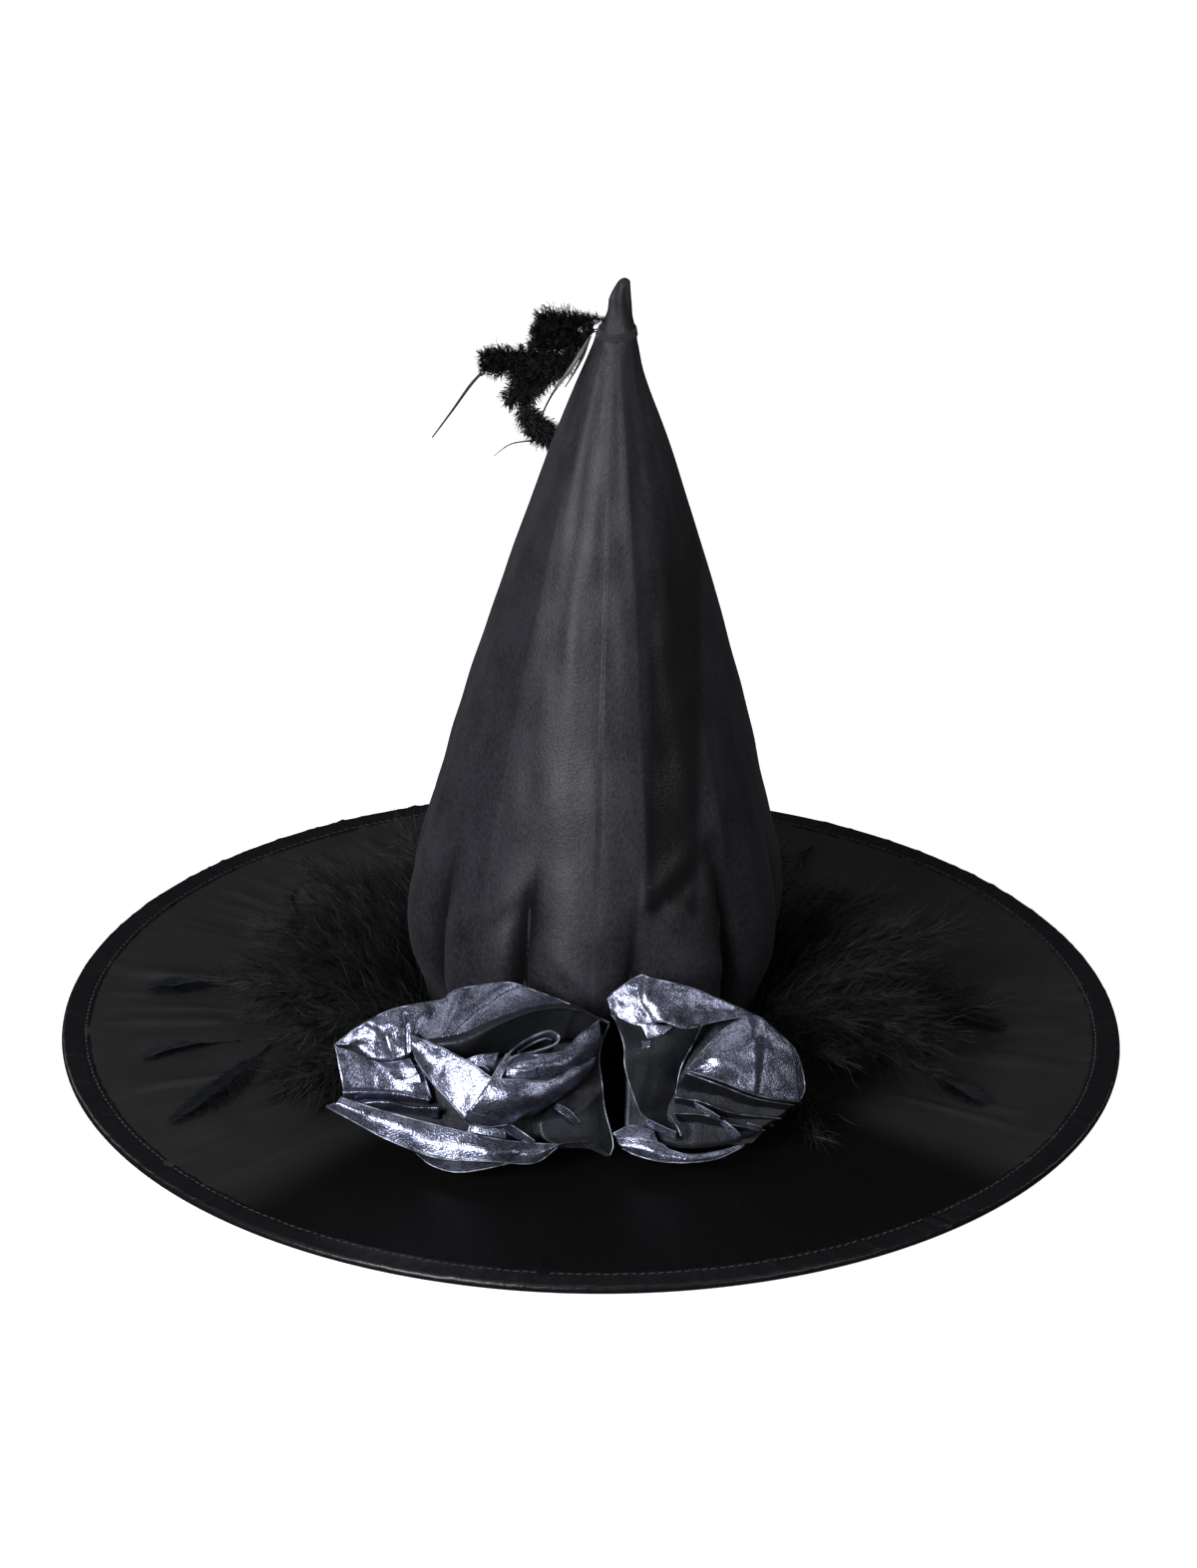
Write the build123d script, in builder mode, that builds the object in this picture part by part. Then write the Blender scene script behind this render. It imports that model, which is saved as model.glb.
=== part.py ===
"""A pointed costume hat: a wired cloth brim, a satin cone, a feather boa, two ribbon roses
and a sprig of plumes tied at the tip. Millimetres, +Z up, the brim's underside on z = 0,
and the wearer faces -Y."""

import os
from math import cos, degrees, hypot, radians, sin, sqrt

from build123d import *

# ---------------------------------------------------------------- driving dimensions
# whole hat
hat_height = 370.0
brim_diameter = 500.0
layer_gap = 0.1  # between two layers of cloth that are sewn together

# head opening, an oval that is longer front to back
opening_width = 151.0
oval_extra = 18.0  # how much further the cone reaches in front and behind than at its sides
sweatband_thickness = 0.8
sweatband_height = 25.0

# brim
binding_thickness = 0.5
binding_width = 13.0
under_cover_thickness = 0.4
stiffener_thickness = 1.6
top_cover_thickness = 0.4
wire_diameter = 1.6
wire_room = 0.4  # between the wire and the cut edge of the brim
wire_joint_gap = 1.0
sleeve_wall = 0.25
sleeve_fit = 0.05
sleeve_length = 20.0
thread_diameter = 0.5
binding_stitch_inset = 1.5

# cone of cloth
cover_thickness = 0.4
interlining_thickness = 1.0
solid_tip_length = 48.0  # the rolled end of the interlining, with no hollow in it
cone_lean = 7.0  # to the wearer's left, from the foot to the tip
tip_bend = 3.0
seam_start = 50.0  # above the brim, where the boa stops hiding the back seam
seam_stitch_length = 6.0
seam_stitch_pitch = 12.0

# boa of downy plumes round the foot of the cone
boa_core_diameter = 3.0
boa_clearance = 0.3
boa_height = 24.0
plume_length = 80.0
plume_depth = 38.0
boa_first_angle = -28.0
boa_last_angle = 208.0
boa_plume_count = 13

# flat cock feathers lying on the brim
vane_thickness = 0.6
feather_quill_diameter = 1.2
feather_lift = 0.2  # over the brim

# ribbon roses
rose_height = 18.0  # of the backing's middle
rose_stand_off = 10.0  # of the backing from the cone
rose_backing_half = 20.0
rose_backing_thickness = 1.5
rose_depth = 40.0
rose_wall = 1.5
rose_floor = 3.0
rose_heart_radius = 8.0
rose_tack_diameter = 3.0

# sprig at the tip
tie_height = 350.0
tie_width = 5.0
tie_wall = 0.9
knot_radius = 1.3
sprig_clearance = 0.4  # between a plume's quill and the knot it hangs from
sprig_quill_diameter = 1.0

# ---------------------------------------------------------------- what follows from them
under_cover_z = binding_thickness
stiffener_z = under_cover_z + under_cover_thickness
top_cover_z = stiffener_z + stiffener_thickness
brim_top = top_cover_z + top_cover_thickness
edge_thickness = brim_top + binding_thickness
edge_z = edge_thickness / 2
fold_radius = brim_diameter / 2 - edge_thickness / 2  # where the binding's round fold is centred
binding_inner_radius = brim_diameter / 2 - binding_width
stack_radius = fold_radius - wire_diameter / 2 - wire_room

sweatband_half = opening_width / 2 + sweatband_thickness
sweatband_top = under_cover_z + sweatband_height
cone_foot = sweatband_half + layer_gap + cover_thickness
brim_hole_half = cone_foot + layer_gap
cone_height = hat_height - brim_top

# Half-width of the cone against height, each as a share of its own: drawn in at the foot,
# full just above it, then nearly straight to a narrow neck under the tip.
cone_outline = [
    (0.00, 1.000),
    (0.05, 1.018),
    (0.12, 1.085),
    (0.19, 1.120),
    (0.27, 1.052),
    (0.38, 0.930),
    (0.49, 0.780),
    (0.60, 0.628),
    (0.70, 0.480),
    (0.81, 0.310),
    (0.89, 0.173),
    (0.94, 0.108),
    (0.97, 0.068),
    (1.00, 0.020),
]
neck_share = 0.89


def cone_share(z):
    """Height above the brim as a share of the cone's height."""
    return min(max((z - brim_top) / cone_height, 0.0), 1.0)


def cone_half_width(z):
    """Half-width of the cover's outside at a height, side to side."""
    share = cone_share(z)
    for (low, low_width), (high, high_width) in zip(cone_outline, cone_outline[1:]):
        if share <= high:
            blend = (share - low) / (high - low)
            return cone_foot * (low_width + (high_width - low_width) * blend)
    return cone_foot * cone_outline[-1][1]


def cone_oval(z):
    """How much further the cone reaches in front and behind than at its sides."""
    return oval_extra * (1 - cone_share(z))


def cone_centre(z):
    """Middle of the cone from side to side: it leans, and its tip bends further."""
    share = cone_share(z)
    return cone_lean * share + tip_bend * max(share - neck_share, 0.0) / (1 - neck_share)


def cone_sections(inset, z_low, z_high):
    """Oval faces for a loft that stays a given distance inside the cover's outside."""
    levels = [brim_top + cone_height * share for share, _ in cone_outline]
    sections = []
    for z in [z_low] + [z for z in levels if z_low + 1 < z < z_high - 1] + [z_high]:
        half = cone_half_width(z) - inset
        with BuildSketch(Plane((cone_centre(z), 0, z))) as section:
            Ellipse(half, half + cone_oval(z))
        sections.append(section.sketch)
    return sections


def oval_ring(middle, inner_half, outer_half, extra, height):
    """An upright band round an oval, from a point in the middle of its lower edge."""
    with BuildPart() as band:
        with BuildSketch(Plane(middle)):
            Ellipse(outer_half, outer_half + extra)
            Ellipse(inner_half, inner_half + extra, mode=Mode.SUBTRACT)
        extrude(amount=height)
    return band.part


def rod(start, end, diameter):
    """A straight round rod between two points."""
    with BuildPart() as bar:
        with BuildSketch(Plane(origin=start, z_dir=end - start)):
            Circle(diameter / 2)
        extrude(amount=(end - start).length)
    return bar.part


def spindle(start, end, half_depth):
    """A soft clump of down: an ellipse turned about the line between two points."""
    along = end - start
    middle = start + along * 0.5
    level = Vector(0, 1, 0) if abs(along.Y) < abs(along.length) * 0.9 else Vector(1, 0, 0)
    with BuildPart() as clump:
        with BuildSketch(Plane(origin=middle, x_dir=along, z_dir=along.cross(level))):
            Ellipse(along.length / 2, half_depth)
            with Locations((0, -half_depth)):
                Rectangle(along.length * 1.1, half_depth * 2, mode=Mode.SUBTRACT)
        revolve(axis=Axis(middle, along))
    return clump.part


def save(part, name):
    """Labels one finished piece and writes it."""
    part.label = name
    export_step(part, f"parts/{name}.step")


os.makedirs("parts", exist_ok=True)


# ---------------------------------------------------------------- cone
def crown_cover():
    """Satin cover, whose seam allowance goes down through the brim's hole."""
    inside_top = hat_height - cover_thickness - layer_gap
    with BuildPart() as cover:
        loft(sections=cone_sections(0, under_cover_z, hat_height), ruled=True)
        inside = cone_sections(cover_thickness, under_cover_z - 1, inside_top)
        loft(sections=inside, ruled=True, mode=Mode.SUBTRACT)
    save(cover.part, "crown_cover")


def crown_interlining():
    """Stiff lining inside the cover, rolled to a solid point at the top."""
    outset = cover_thickness + layer_gap
    foot = sweatband_top + 1
    top = hat_height - 2 * (cover_thickness + layer_gap)
    with BuildPart() as interlining:
        loft(sections=cone_sections(outset, foot, top), ruled=True)
        inside = cone_sections(outset + interlining_thickness, foot - 1, hat_height - solid_tip_length)
        loft(sections=inside, ruled=True, mode=Mode.SUBTRACT)
    save(interlining.part, "crown_interlining")


def crown_seam_thread():
    """Stitches up the cone's back seam, each a short bar on the cover."""
    stitches = []
    z = brim_top + seam_start
    while z < tie_height - 2 * seam_stitch_pitch:
        ends = []
        for height in (z, z + seam_stitch_length):
            back = cone_half_width(height) + cone_oval(height) + thread_diameter / 2 + layer_gap
            ends.append(Vector(cone_centre(height), back, height))
        stitches.append(rod(ends[0], ends[1], thread_diameter))
        z += seam_stitch_pitch
    save(Compound(children=stitches), "crown_seam_thread")


crown_cover()
crown_interlining()
crown_seam_thread()


# ---------------------------------------------------------------- head opening
def sweatband():
    """Woven band inside the head opening, and the thread that sews it in."""
    half = opening_width / 2
    band = oval_ring((0, 0, under_cover_z), half, sweatband_half, oval_extra, sweatband_height)
    save(band, "sweatband")
    thread_z = brim_top + 2
    thread = oval_ring((0, 0, thread_z), half - thread_diameter / 2, half, oval_extra, thread_diameter)
    save(thread, "sweatband_stitches")


sweatband()


# ---------------------------------------------------------------- brim
def brim_layers():
    """Two cloth covers with a stiff layer between them, all with the same oval hole."""
    layers = {
        "brim_under_cover": (under_cover_z, under_cover_thickness),
        "brim_stiffener": (stiffener_z, stiffener_thickness),
        "brim_top_cover": (top_cover_z, top_cover_thickness),
    }
    for name, (z, thickness) in layers.items():
        with BuildPart() as layer:
            with BuildSketch(Plane.XY.offset(z)):
                Circle(stack_radius)
                Ellipse(brim_hole_half, brim_hole_half + oval_extra, mode=Mode.SUBTRACT)
            extrude(amount=thickness)
        save(layer.part, name)


def brim_wire():
    """Hoop of spring wire in the brim's edge, open where its ends meet at the side."""
    open_angle = degrees(wire_joint_gap / fold_radius)
    with BuildPart() as wire:
        with BuildSketch(Plane.XZ):
            with Locations((fold_radius, edge_z)):
                Circle(wire_diameter / 2)
        revolve(axis=Axis.Z, revolution_arc=360 - open_angle)
    save(wire.part.rotate(Axis.Z, open_angle / 2), "brim_wire")


def wire_sleeve():
    """Crimped tube that joins the two ends of the hoop."""
    covered_angle = degrees(sleeve_length / fold_radius)
    bore = wire_diameter / 2 + sleeve_fit
    with BuildPart() as sleeve:
        with BuildSketch(Plane.XZ):
            with Locations((fold_radius, edge_z)):
                Circle(bore + sleeve_wall)
                Circle(bore, mode=Mode.SUBTRACT)
        revolve(axis=Axis.Z, revolution_arc=covered_angle)
    save(sleeve.part.rotate(Axis.Z, -covered_angle / 2), "wire_sleeve")


def brim_binding():
    """Bias strip folded round the edge of the brim and over the wire."""
    inside = edge_z - binding_thickness
    flat = fold_radius - binding_inner_radius
    with BuildPart() as binding:
        with BuildSketch(Plane.XZ):
            with Locations((fold_radius, edge_z)):
                Circle(edge_z)
            with Locations((fold_radius - flat / 2, edge_z)):
                Rectangle(flat, edge_thickness)
            with Locations((fold_radius, edge_z)):
                Circle(inside, mode=Mode.SUBTRACT)
            with Locations((fold_radius - flat / 2 - 1, edge_z)):
                Rectangle(flat + 2, 2 * inside, mode=Mode.SUBTRACT)
        revolve(axis=Axis.Z)
    save(binding.part, "brim_binding")


def binding_stitches():
    """Line of thread that holds the binding's inner edge down."""
    radius = binding_inner_radius + binding_stitch_inset
    with BuildPart() as thread:
        with BuildSketch(Plane.XY.offset(edge_thickness)):
            Circle(radius + thread_diameter / 2)
            Circle(radius - thread_diameter / 2, mode=Mode.SUBTRACT)
        extrude(amount=thread_diameter / 2)
    save(thread.part, "binding_stitches")


brim_layers()
brim_wire()
wire_sleeve()
brim_binding()
binding_stitches()

# ---------------------------------------------------------------- boa
boa_core_half = cone_half_width(boa_height) + boa_core_diameter / 2 + boa_clearance
plume_path_half = boa_core_half + boa_core_diameter / 2 + boa_clearance + plume_length / 2
boa_middle = Vector(cone_centre(boa_height), 0, boa_height)


def boa_core():
    """String that the boa's plumes are tied to, wound once round the cone."""
    half_y = boa_core_half + cone_oval(boa_height)
    with BuildPart() as core:
        with BuildLine() as path:
            EllipticalCenterArc(boa_middle, boa_core_half, half_y, start_angle=0, arc_size=180)
            EllipticalCenterArc(boa_middle, boa_core_half, half_y, start_angle=180, arc_size=180)
        with BuildSketch(Plane(origin=path.wire() @ 0, z_dir=path.wire() % 0)):
            Circle(boa_core_diameter / 2)
        sweep(path=path.wire())
    save(core.part, "boa_core")


def boa_plume(angle):
    """One clump of down, which points straight out from the string."""
    turn = radians(angle)
    half_y = plume_path_half + cone_oval(boa_height)
    middle = boa_middle + Vector(plume_path_half * cos(turn), half_y * sin(turn), 0)
    outward = Vector(cos(turn) / plume_path_half, sin(turn) / half_y, 0).normalized()
    reach = outward * (plume_length / 2)
    clump = spindle(middle - reach, middle + reach, plume_depth / 2)
    return clump


def boa_plumes():
    """Clumps all round the cone apart from its front, in three lengths of boa."""
    step = (boa_last_angle - boa_first_angle) / (boa_plume_count - 1)
    angles = [boa_first_angle + step * i for i in range(boa_plume_count)]
    lengths = {
        "boa_plumes_right": [a for a in angles if a < 50],
        "boa_plumes_back": [a for a in angles if 50 <= a <= 130],
        "boa_plumes_left": [a for a in angles if a > 130],
    }
    for name, chosen in lengths.items():
        save(Compound(children=[boa_plume(a) for a in chosen]), name)


boa_core()
boa_plumes()

# ---------------------------------------------------------------- flat feathers
# Each feather's root and tip on the brim, half of its vane's width, and its bare share.
flat_feathers = {
    "cock_feather_left_front": ((-150, -34), (-191, -112), 11.0, 0.20),
    "cock_feather_left_split": ((-165, -30), (-209, -50), 9.0, 0.25),
    "cock_feather_left_back": ((-158, 34), (-212, 23), 12.0, 0.15),
    "cock_feather_left_curl": ((-141, 88), (-148, 132), 5.0, 0.10),
    "cock_feather_right_front": ((152, -44), (182, -84), 11.0, 0.15),
    "cock_feather_right_side": ((150, 4), (196, -10), 11.0, 0.20),
    "cock_feather_right_back": ((138, 84), (176, 112), 5.0, 0.15),
    "cock_feather_right_curl": ((104, 138), (112, 190), 5.0, 0.10),
}
quill_share = 0.9  # of a feather's length that its quill is thick enough to show


def flat_feather(name, root, tip, half_width, bare_share):
    """A quill with a pointed vane, lying between the boa and the brim."""
    length = hypot(tip[0] - root[0], tip[1] - root[1])
    along = Vector(tip[0] - root[0], tip[1] - root[1], 0)
    z = brim_top + feather_lift + feather_quill_diameter / 2
    vane_plane = Plane(origin=(*root, z - vane_thickness / 2), x_dir=along, z_dir=(0, 0, 1))
    start = length * bare_share
    middle = (start + length) / 2
    with BuildPart() as feather:
        with BuildSketch(vane_plane):
            with BuildLine():
                ThreePointArc((start, 0), (middle, half_width), (length, 0))
                ThreePointArc((length, 0), (middle, -half_width), (start, 0))
            make_face()
        extrude(amount=vane_thickness)
        with BuildSketch(Plane(origin=(*root, z), z_dir=along)):
            Circle(feather_quill_diameter / 2)
        extrude(amount=length * quill_share)
    save(feather.part, name)


for feather_name, (root_xy, tip_xy, vane_half, bare) in flat_feathers.items():
    flat_feather(feather_name, root_xy, tip_xy, vane_half, bare)


# ---------------------------------------------------------------- roses
def rose_frame(across, facing):
    """A rose's own plane: on its backing, facing outwards, level from side to side."""
    half_x = cone_half_width(rose_height)
    half_y = half_x + cone_oval(rose_height)
    front = half_y * sqrt(1 - ((across - cone_centre(rose_height)) / half_x) ** 2)
    axis = Vector(*facing).normalized()
    behind = rose_backing_half * axis.Z
    origin = Vector(across, -front - rose_stand_off - behind, rose_height)
    return Plane(origin=origin, x_dir=Vector(-axis.Y, axis.X, 0), z_dir=axis)


def petal_cup(plane, bottom, top, foot, mouth):
    """A round of petals: an oval bowl with a floor, along the rose's own axis."""
    with BuildPart() as cup:
        with BuildSketch(plane.offset(bottom)):
            Ellipse(*foot)
        with BuildSketch(plane.offset(top)):
            Ellipse(*mouth)
        loft()
        with BuildSketch(plane.offset(bottom + rose_floor)):
            Ellipse(foot[0] - rose_wall, foot[1] - rose_wall)
        with BuildSketch(plane.offset(top + 1)):
            Ellipse(mouth[0] - rose_wall, mouth[1] - rose_wall)
        loft(mode=Mode.SUBTRACT)
    return cup.part


def rose(side, across, facing, mouth):
    """Felt backing, two rounds of petals, a rolled heart, and the thread that tacks it on."""
    plane = rose_frame(across, facing)
    foot = (rose_backing_half, rose_backing_half * 0.8)

    with BuildPart() as backing:
        with BuildSketch(plane):
            Ellipse(*foot)
        extrude(amount=rose_backing_thickness)
    save(backing.part, f"rose_{side}_backing")

    outer_bottom = rose_backing_thickness
    outer = petal_cup(plane, outer_bottom, rose_depth * 0.75, foot, mouth)
    save(outer, f"rose_{side}_outer_petals")

    inner_bottom = outer_bottom + rose_floor
    inner_foot = (rose_heart_radius + 5, rose_heart_radius + 3)
    inner_mouth = (mouth[0] * 0.55, mouth[1] * 0.6)
    inner = petal_cup(plane, inner_bottom, rose_depth * 0.95, inner_foot, inner_mouth)
    save(inner, f"rose_{side}_inner_petals")

    with BuildPart() as heart:
        with BuildSketch(plane.offset(inner_bottom + rose_floor)):
            Circle(rose_heart_radius * 0.8)
        with BuildSketch(plane.offset(rose_depth)):
            Circle(rose_heart_radius)
        loft()
    save(heart.part, f"rose_{side}_heart")

    with BuildPart() as tack:
        with BuildSketch(plane):
            Circle(rose_tack_diameter / 2)
        extrude(amount=-2 * rose_height)
        split(bisect_by=Plane.XY.offset(brim_top), keep=Keep.TOP)
    save(tack.part, f"rose_{side}_tack_thread")


rose("left", -50, (-0.30, -0.65, 0.70), (62.0, 40.0))
rose("right", 48, (0.30, -0.65, 0.70), (45.0, 38.0))

# ---------------------------------------------------------------- sprig at the tip
tie_foot = tie_height - tie_width
tie_middle = cone_centre(tie_height)
tie_inner = cone_half_width(tie_foot) + tie_middle - cone_centre(tie_foot) + layer_gap
knot = Vector(tie_middle - tie_inner - tie_wall - knot_radius * 0.8, 0, tie_height - tie_width / 2)


def tip_tie_thread():
    """Thread wound round the neck of the tip, with a knot on its right-hand side."""
    extra = cone_oval(tie_foot)
    winding = oval_ring((tie_middle, 0, tie_foot), tie_inner, tie_inner + tie_wall, extra, tie_width)
    with BuildPart() as tie:
        add(winding)
        with Locations(knot):
            Sphere(knot_radius)
    save(tie.part, "tip_tie_thread")


def sprig_point(across, back, down):
    """A point of the sprig, measured from the knot."""
    return knot + Vector(across, back, -down)


def bent_quill(points):
    """A bare quill: straight lengths that run on from each other, with round joints."""
    lengths = [rod(start, end, sprig_quill_diameter) for start, end in zip(points, points[1:])]
    with BuildPart() as quill:
        for length in lengths:
            add(length)
        for bend in points[1:-1]:
            with Locations(bend):
                Sphere(sprig_quill_diameter / 2)
    return quill.part


def upper_sprig():
    """Plume that stands out beside the tip, its quill, and a bare stick beyond it."""
    clumps = [
        spindle(sprig_point(-2, -2, 1), sprig_point(-28, -2, 1), 6.0),
        spindle(sprig_point(-24, -2, 14), sprig_point(-50, -2, 21), 5.5),
        spindle(sprig_point(-10, -2, 12), sprig_point(-33, -2, 38), 6.5),
    ]
    save(Compound(children=clumps), "tip_plume_upper")
    start = knot_radius + sprig_clearance
    save(bent_quill([sprig_point(-start, -1, 0), sprig_point(-30, -2, 15.5)]), "tip_plume_upper_quill")
    stick = [sprig_point(-44, -2, 19), sprig_point(-53, -2, 30), sprig_point(-68, -2, 54)]
    save(bent_quill(stick), "tip_plume_bare_stick")


def lower_sprig():
    """Small tuft that hangs behind on a long bare quill, with one curved barb."""
    start = knot_radius + sprig_clearance + sprig_quill_diameter
    tuft = spindle(sprig_point(-26, 20, 48), sprig_point(-20, 20, 70), 7.0)
    save(tuft, "tip_plume_lower")
    path = [
        sprig_point(-1, 7 + start, 4),
        sprig_point(-4, 11, 12),
        sprig_point(-10, 15, 24),
        sprig_point(-18, 18, 38),
        sprig_point(-24, 20, 52),
    ]
    save(bent_quill(path), "tip_plume_lower_quill")
    barb = [sprig_point(-25, 20, 60), sprig_point(-36, 20, 62), sprig_point(-44, 20, 68)]
    save(bent_quill(barb), "tip_plume_lower_barb")


tip_tie_thread()
upper_sprig()
lower_sprig()
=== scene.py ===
"""A pointed costume hat with a boa, two ribbon roses and a sprig of plumes, in metres."""

from math import cos, pi, radians, sin

import bpy
import numpy as np
from mathutils import Euler, Matrix, Vector


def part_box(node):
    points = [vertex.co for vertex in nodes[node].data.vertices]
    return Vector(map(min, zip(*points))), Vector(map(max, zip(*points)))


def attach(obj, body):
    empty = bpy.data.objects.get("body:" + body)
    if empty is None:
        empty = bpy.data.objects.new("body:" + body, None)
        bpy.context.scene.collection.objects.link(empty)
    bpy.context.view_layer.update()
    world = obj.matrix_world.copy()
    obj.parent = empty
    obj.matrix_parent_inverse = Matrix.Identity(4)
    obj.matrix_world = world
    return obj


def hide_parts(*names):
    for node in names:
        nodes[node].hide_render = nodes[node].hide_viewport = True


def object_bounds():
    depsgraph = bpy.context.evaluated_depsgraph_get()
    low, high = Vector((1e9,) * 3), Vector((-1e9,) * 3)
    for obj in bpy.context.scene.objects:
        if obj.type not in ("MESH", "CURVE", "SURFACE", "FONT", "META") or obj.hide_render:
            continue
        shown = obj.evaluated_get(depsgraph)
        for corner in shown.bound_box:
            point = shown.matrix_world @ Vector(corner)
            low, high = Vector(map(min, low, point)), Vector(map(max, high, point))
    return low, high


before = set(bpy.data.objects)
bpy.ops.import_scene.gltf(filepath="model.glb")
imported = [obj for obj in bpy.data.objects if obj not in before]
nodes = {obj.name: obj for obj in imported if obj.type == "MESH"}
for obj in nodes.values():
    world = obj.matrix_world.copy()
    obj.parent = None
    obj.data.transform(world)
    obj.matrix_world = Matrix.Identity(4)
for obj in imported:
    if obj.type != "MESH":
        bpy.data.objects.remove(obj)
hat_box = [list(corner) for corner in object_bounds()]

# ---------------------------------------------------------------- studio
# A pale floor, one broad soft light from the wearer's right and above, weaker ones from
# behind and from the other side, and a long lens a little above the brim.
mm = 0.001


def lamp(name, size, power, place, aim, colour=(1, 1, 1)):
    """A square soft light that faces a point."""
    data = bpy.data.lights.new(name, "AREA")
    data.size = size
    data.energy = power
    data.color = colour
    light = bpy.data.objects.new(name, data)
    light.location = place
    light.rotation_euler = (Vector(aim) - Vector(place)).to_track_quat("-Z", "Y").to_euler()
    bpy.context.scene.collection.objects.link(light)
    return light


lamp("key_light", 0.9, 50, (-1.2, -1.8, 1.15), (0, 0, 0.10), (0.95, 0.97, 1.0))
lamp("top_light", 1.6, 6, (-0.2, 0.3, 2.3), (0, 0, 0.0))
lamp("back_light", 0.9, 6, (-1.7, 1.3, 0.95), (-0.1, 0, 0.05))
lamp("side_light", 0.5, 2.5, (1.9, 0.9, 0.9), (0.1, 0, 0.05))
lamp("fill_light", 0.8, 5.2, (1.35, -1.45, 1.1), (0.05, 0, 0.12))
bounce = lamp("floor_bounce", 1.5, 1.6, (0.15, -1.15, 0.03), (0.15, -1.15, 1.0), (0.86, 0.92, 1.0))
bounce.visible_camera = False

camera_distance = 2.3
camera_elevation = radians(27.77)
camera_pitch = radians(90 - 24.94)
camera_turn = radians(-0.059)
camera_roll = radians(0.709)
camera = bpy.data.objects.new("camera", bpy.data.cameras.new("camera"))
camera.data.lens = 111.07
camera.data.sensor_width = 36.0
tilt = Matrix.Rotation(camera_turn, 4, "Z") @ Matrix.Rotation(camera_pitch, 4, "X")
camera.matrix_world = (
    Matrix.Translation((0, -camera_distance * cos(camera_elevation), camera_distance * sin(camera_elevation)))
    @ tilt
    @ Matrix.Rotation(camera_roll, 4, "Z")
)
bpy.context.scene.collection.objects.link(camera)
bpy.context.scene.camera = camera
bpy.context.scene.view_settings.view_transform = "Standard"


class Value:
    """An output of a node. Sums with numbers or other outputs add the Math nodes they need."""

    def __init__(self, tree, socket=None):
        self.tree = tree
        self.socket = socket

    def node(self, kind, settings=None, values=None, out=0):
        """Adds a node: its settings first, then the values or links of its sockets."""
        made = self.tree.nodes.new(kind)
        for name, setting in (settings or {}).items():
            setattr(made, name, setting)
        for name, value in (values or {}).items():
            for part in value if isinstance(value, list) else [value]:
                if isinstance(part, Value):
                    self.tree.links.new(part.socket, made.inputs[name])
                else:
                    made.inputs[name].default_value = part
        return Value(self.tree, made.outputs[out] if len(made.outputs) else None)

    def maths(self, operation, *values):
        return self.node("ShaderNodeMath", {"operation": operation}, dict(enumerate(values)))

    def __add__(self, other):
        return self.maths("ADD", self, other)

    def __sub__(self, other):
        return self.maths("SUBTRACT", self, other)

    def __mul__(self, other):
        return self.maths("MULTIPLY", self, other)

    def __pow__(self, other):
        return self.maths("POWER", self, other)

    def __rsub__(self, other):
        return self.maths("SUBTRACT", other, self)

    def __rtruediv__(self, other):
        return self.maths("DIVIDE", other, self)

    def __neg__(self):
        return self.maths("MULTIPLY", self, -1.0)

    def at_most(self, other):
        return self.maths("MINIMUM", self, other)

    def smooth(self, start, end):
        """0 before start, 1 after end."""
        settings = {"interpolation_type": "SMOOTHSTEP"}
        values = {"Value": self, "From Min": start, "From Max": end}
        return self.node("ShaderNodeMapRange", settings, values)

    def mix(self, first, second):
        """One colour where this is 0 and another where it is 1."""
        first, second = [(*c, 1.0) if isinstance(c, tuple) else c for c in (first, second)]
        values = {0: self, 6: first, 7: second}
        return self.node("ShaderNodeMix", {"data_type": "RGBA"}, values, out=2)

    def noise(self, where, size, detail=2.0, stretch=(1, 1, 1)):
        """Smooth random values with lumps about as large as size, in metres."""
        scale = tuple(s / size for s in stretch)
        spread = self.node("ShaderNodeMapping", None, {"Vector": where, "Scale": scale})
        values = {"Vector": spread, "Scale": 1.0, "Detail": detail}
        return self.node("ShaderNodeTexNoise", None, values)


def finish(name, colour, rough, bump=None, specular=0.5, **sockets):
    """A material. Its colour, roughness, bump and other sockets are values or functions."""
    material = bpy.data.materials.new(name)
    material.use_nodes = True
    material.node_tree.nodes.clear()
    start = Value(material.node_tree)
    where = start.node("ShaderNodeTexCoord", out="Object")
    uv = start.node("ShaderNodeUVMap", {"uv_map": "cloth"})
    values = {"Specular IOR Level": specular}
    worked = [make(start, where, uv) if callable(make) else make for make in (colour, rough, bump)]
    values["Base Color"] = worked[0] if isinstance(worked[0], Value) else (*worked[0], 1.0)
    values["Roughness"] = worked[1]
    if worked[2] is not None:
        height = {"Height": worked[2], "Strength": 1.0, "Distance": 0.001}
        values["Normal"] = start.node("ShaderNodeBump", None, height)
    for key, value in sockets.items():
        label = key.replace("_", " ").title()
        value = value(start, where, uv) if callable(value) else value
        values[label] = (*value, 1.0) if isinstance(value, tuple) else value
    shader = start.node("ShaderNodeBsdfPrincipled", None, values)
    start.node("ShaderNodeOutputMaterial", None, {"Surface": shader})
    return material


def piece(name, points, faces, material, uv=None):
    """A mesh object from points and faces, with the cloth's own flat measure as its UV map."""
    mesh = bpy.data.meshes.new(name)
    mesh.from_pydata([tuple(p) for p in points], [], [tuple(int(i) for i in f) for f in faces])
    if uv is not None:
        corners = np.empty(len(mesh.loops), dtype=np.int32)
        mesh.loops.foreach_get("vertex_index", corners)
        layer = mesh.uv_layers.new(name="cloth")
        layer.data.foreach_set("uv", np.asarray(uv, dtype=np.float32)[corners].ravel())
    mesh.polygons.foreach_set("use_smooth", [True] * len(mesh.polygons))
    mesh.materials.append(material)
    made = bpy.data.objects.new(name, mesh)
    bpy.context.scene.collection.objects.link(made)
    return made


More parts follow.
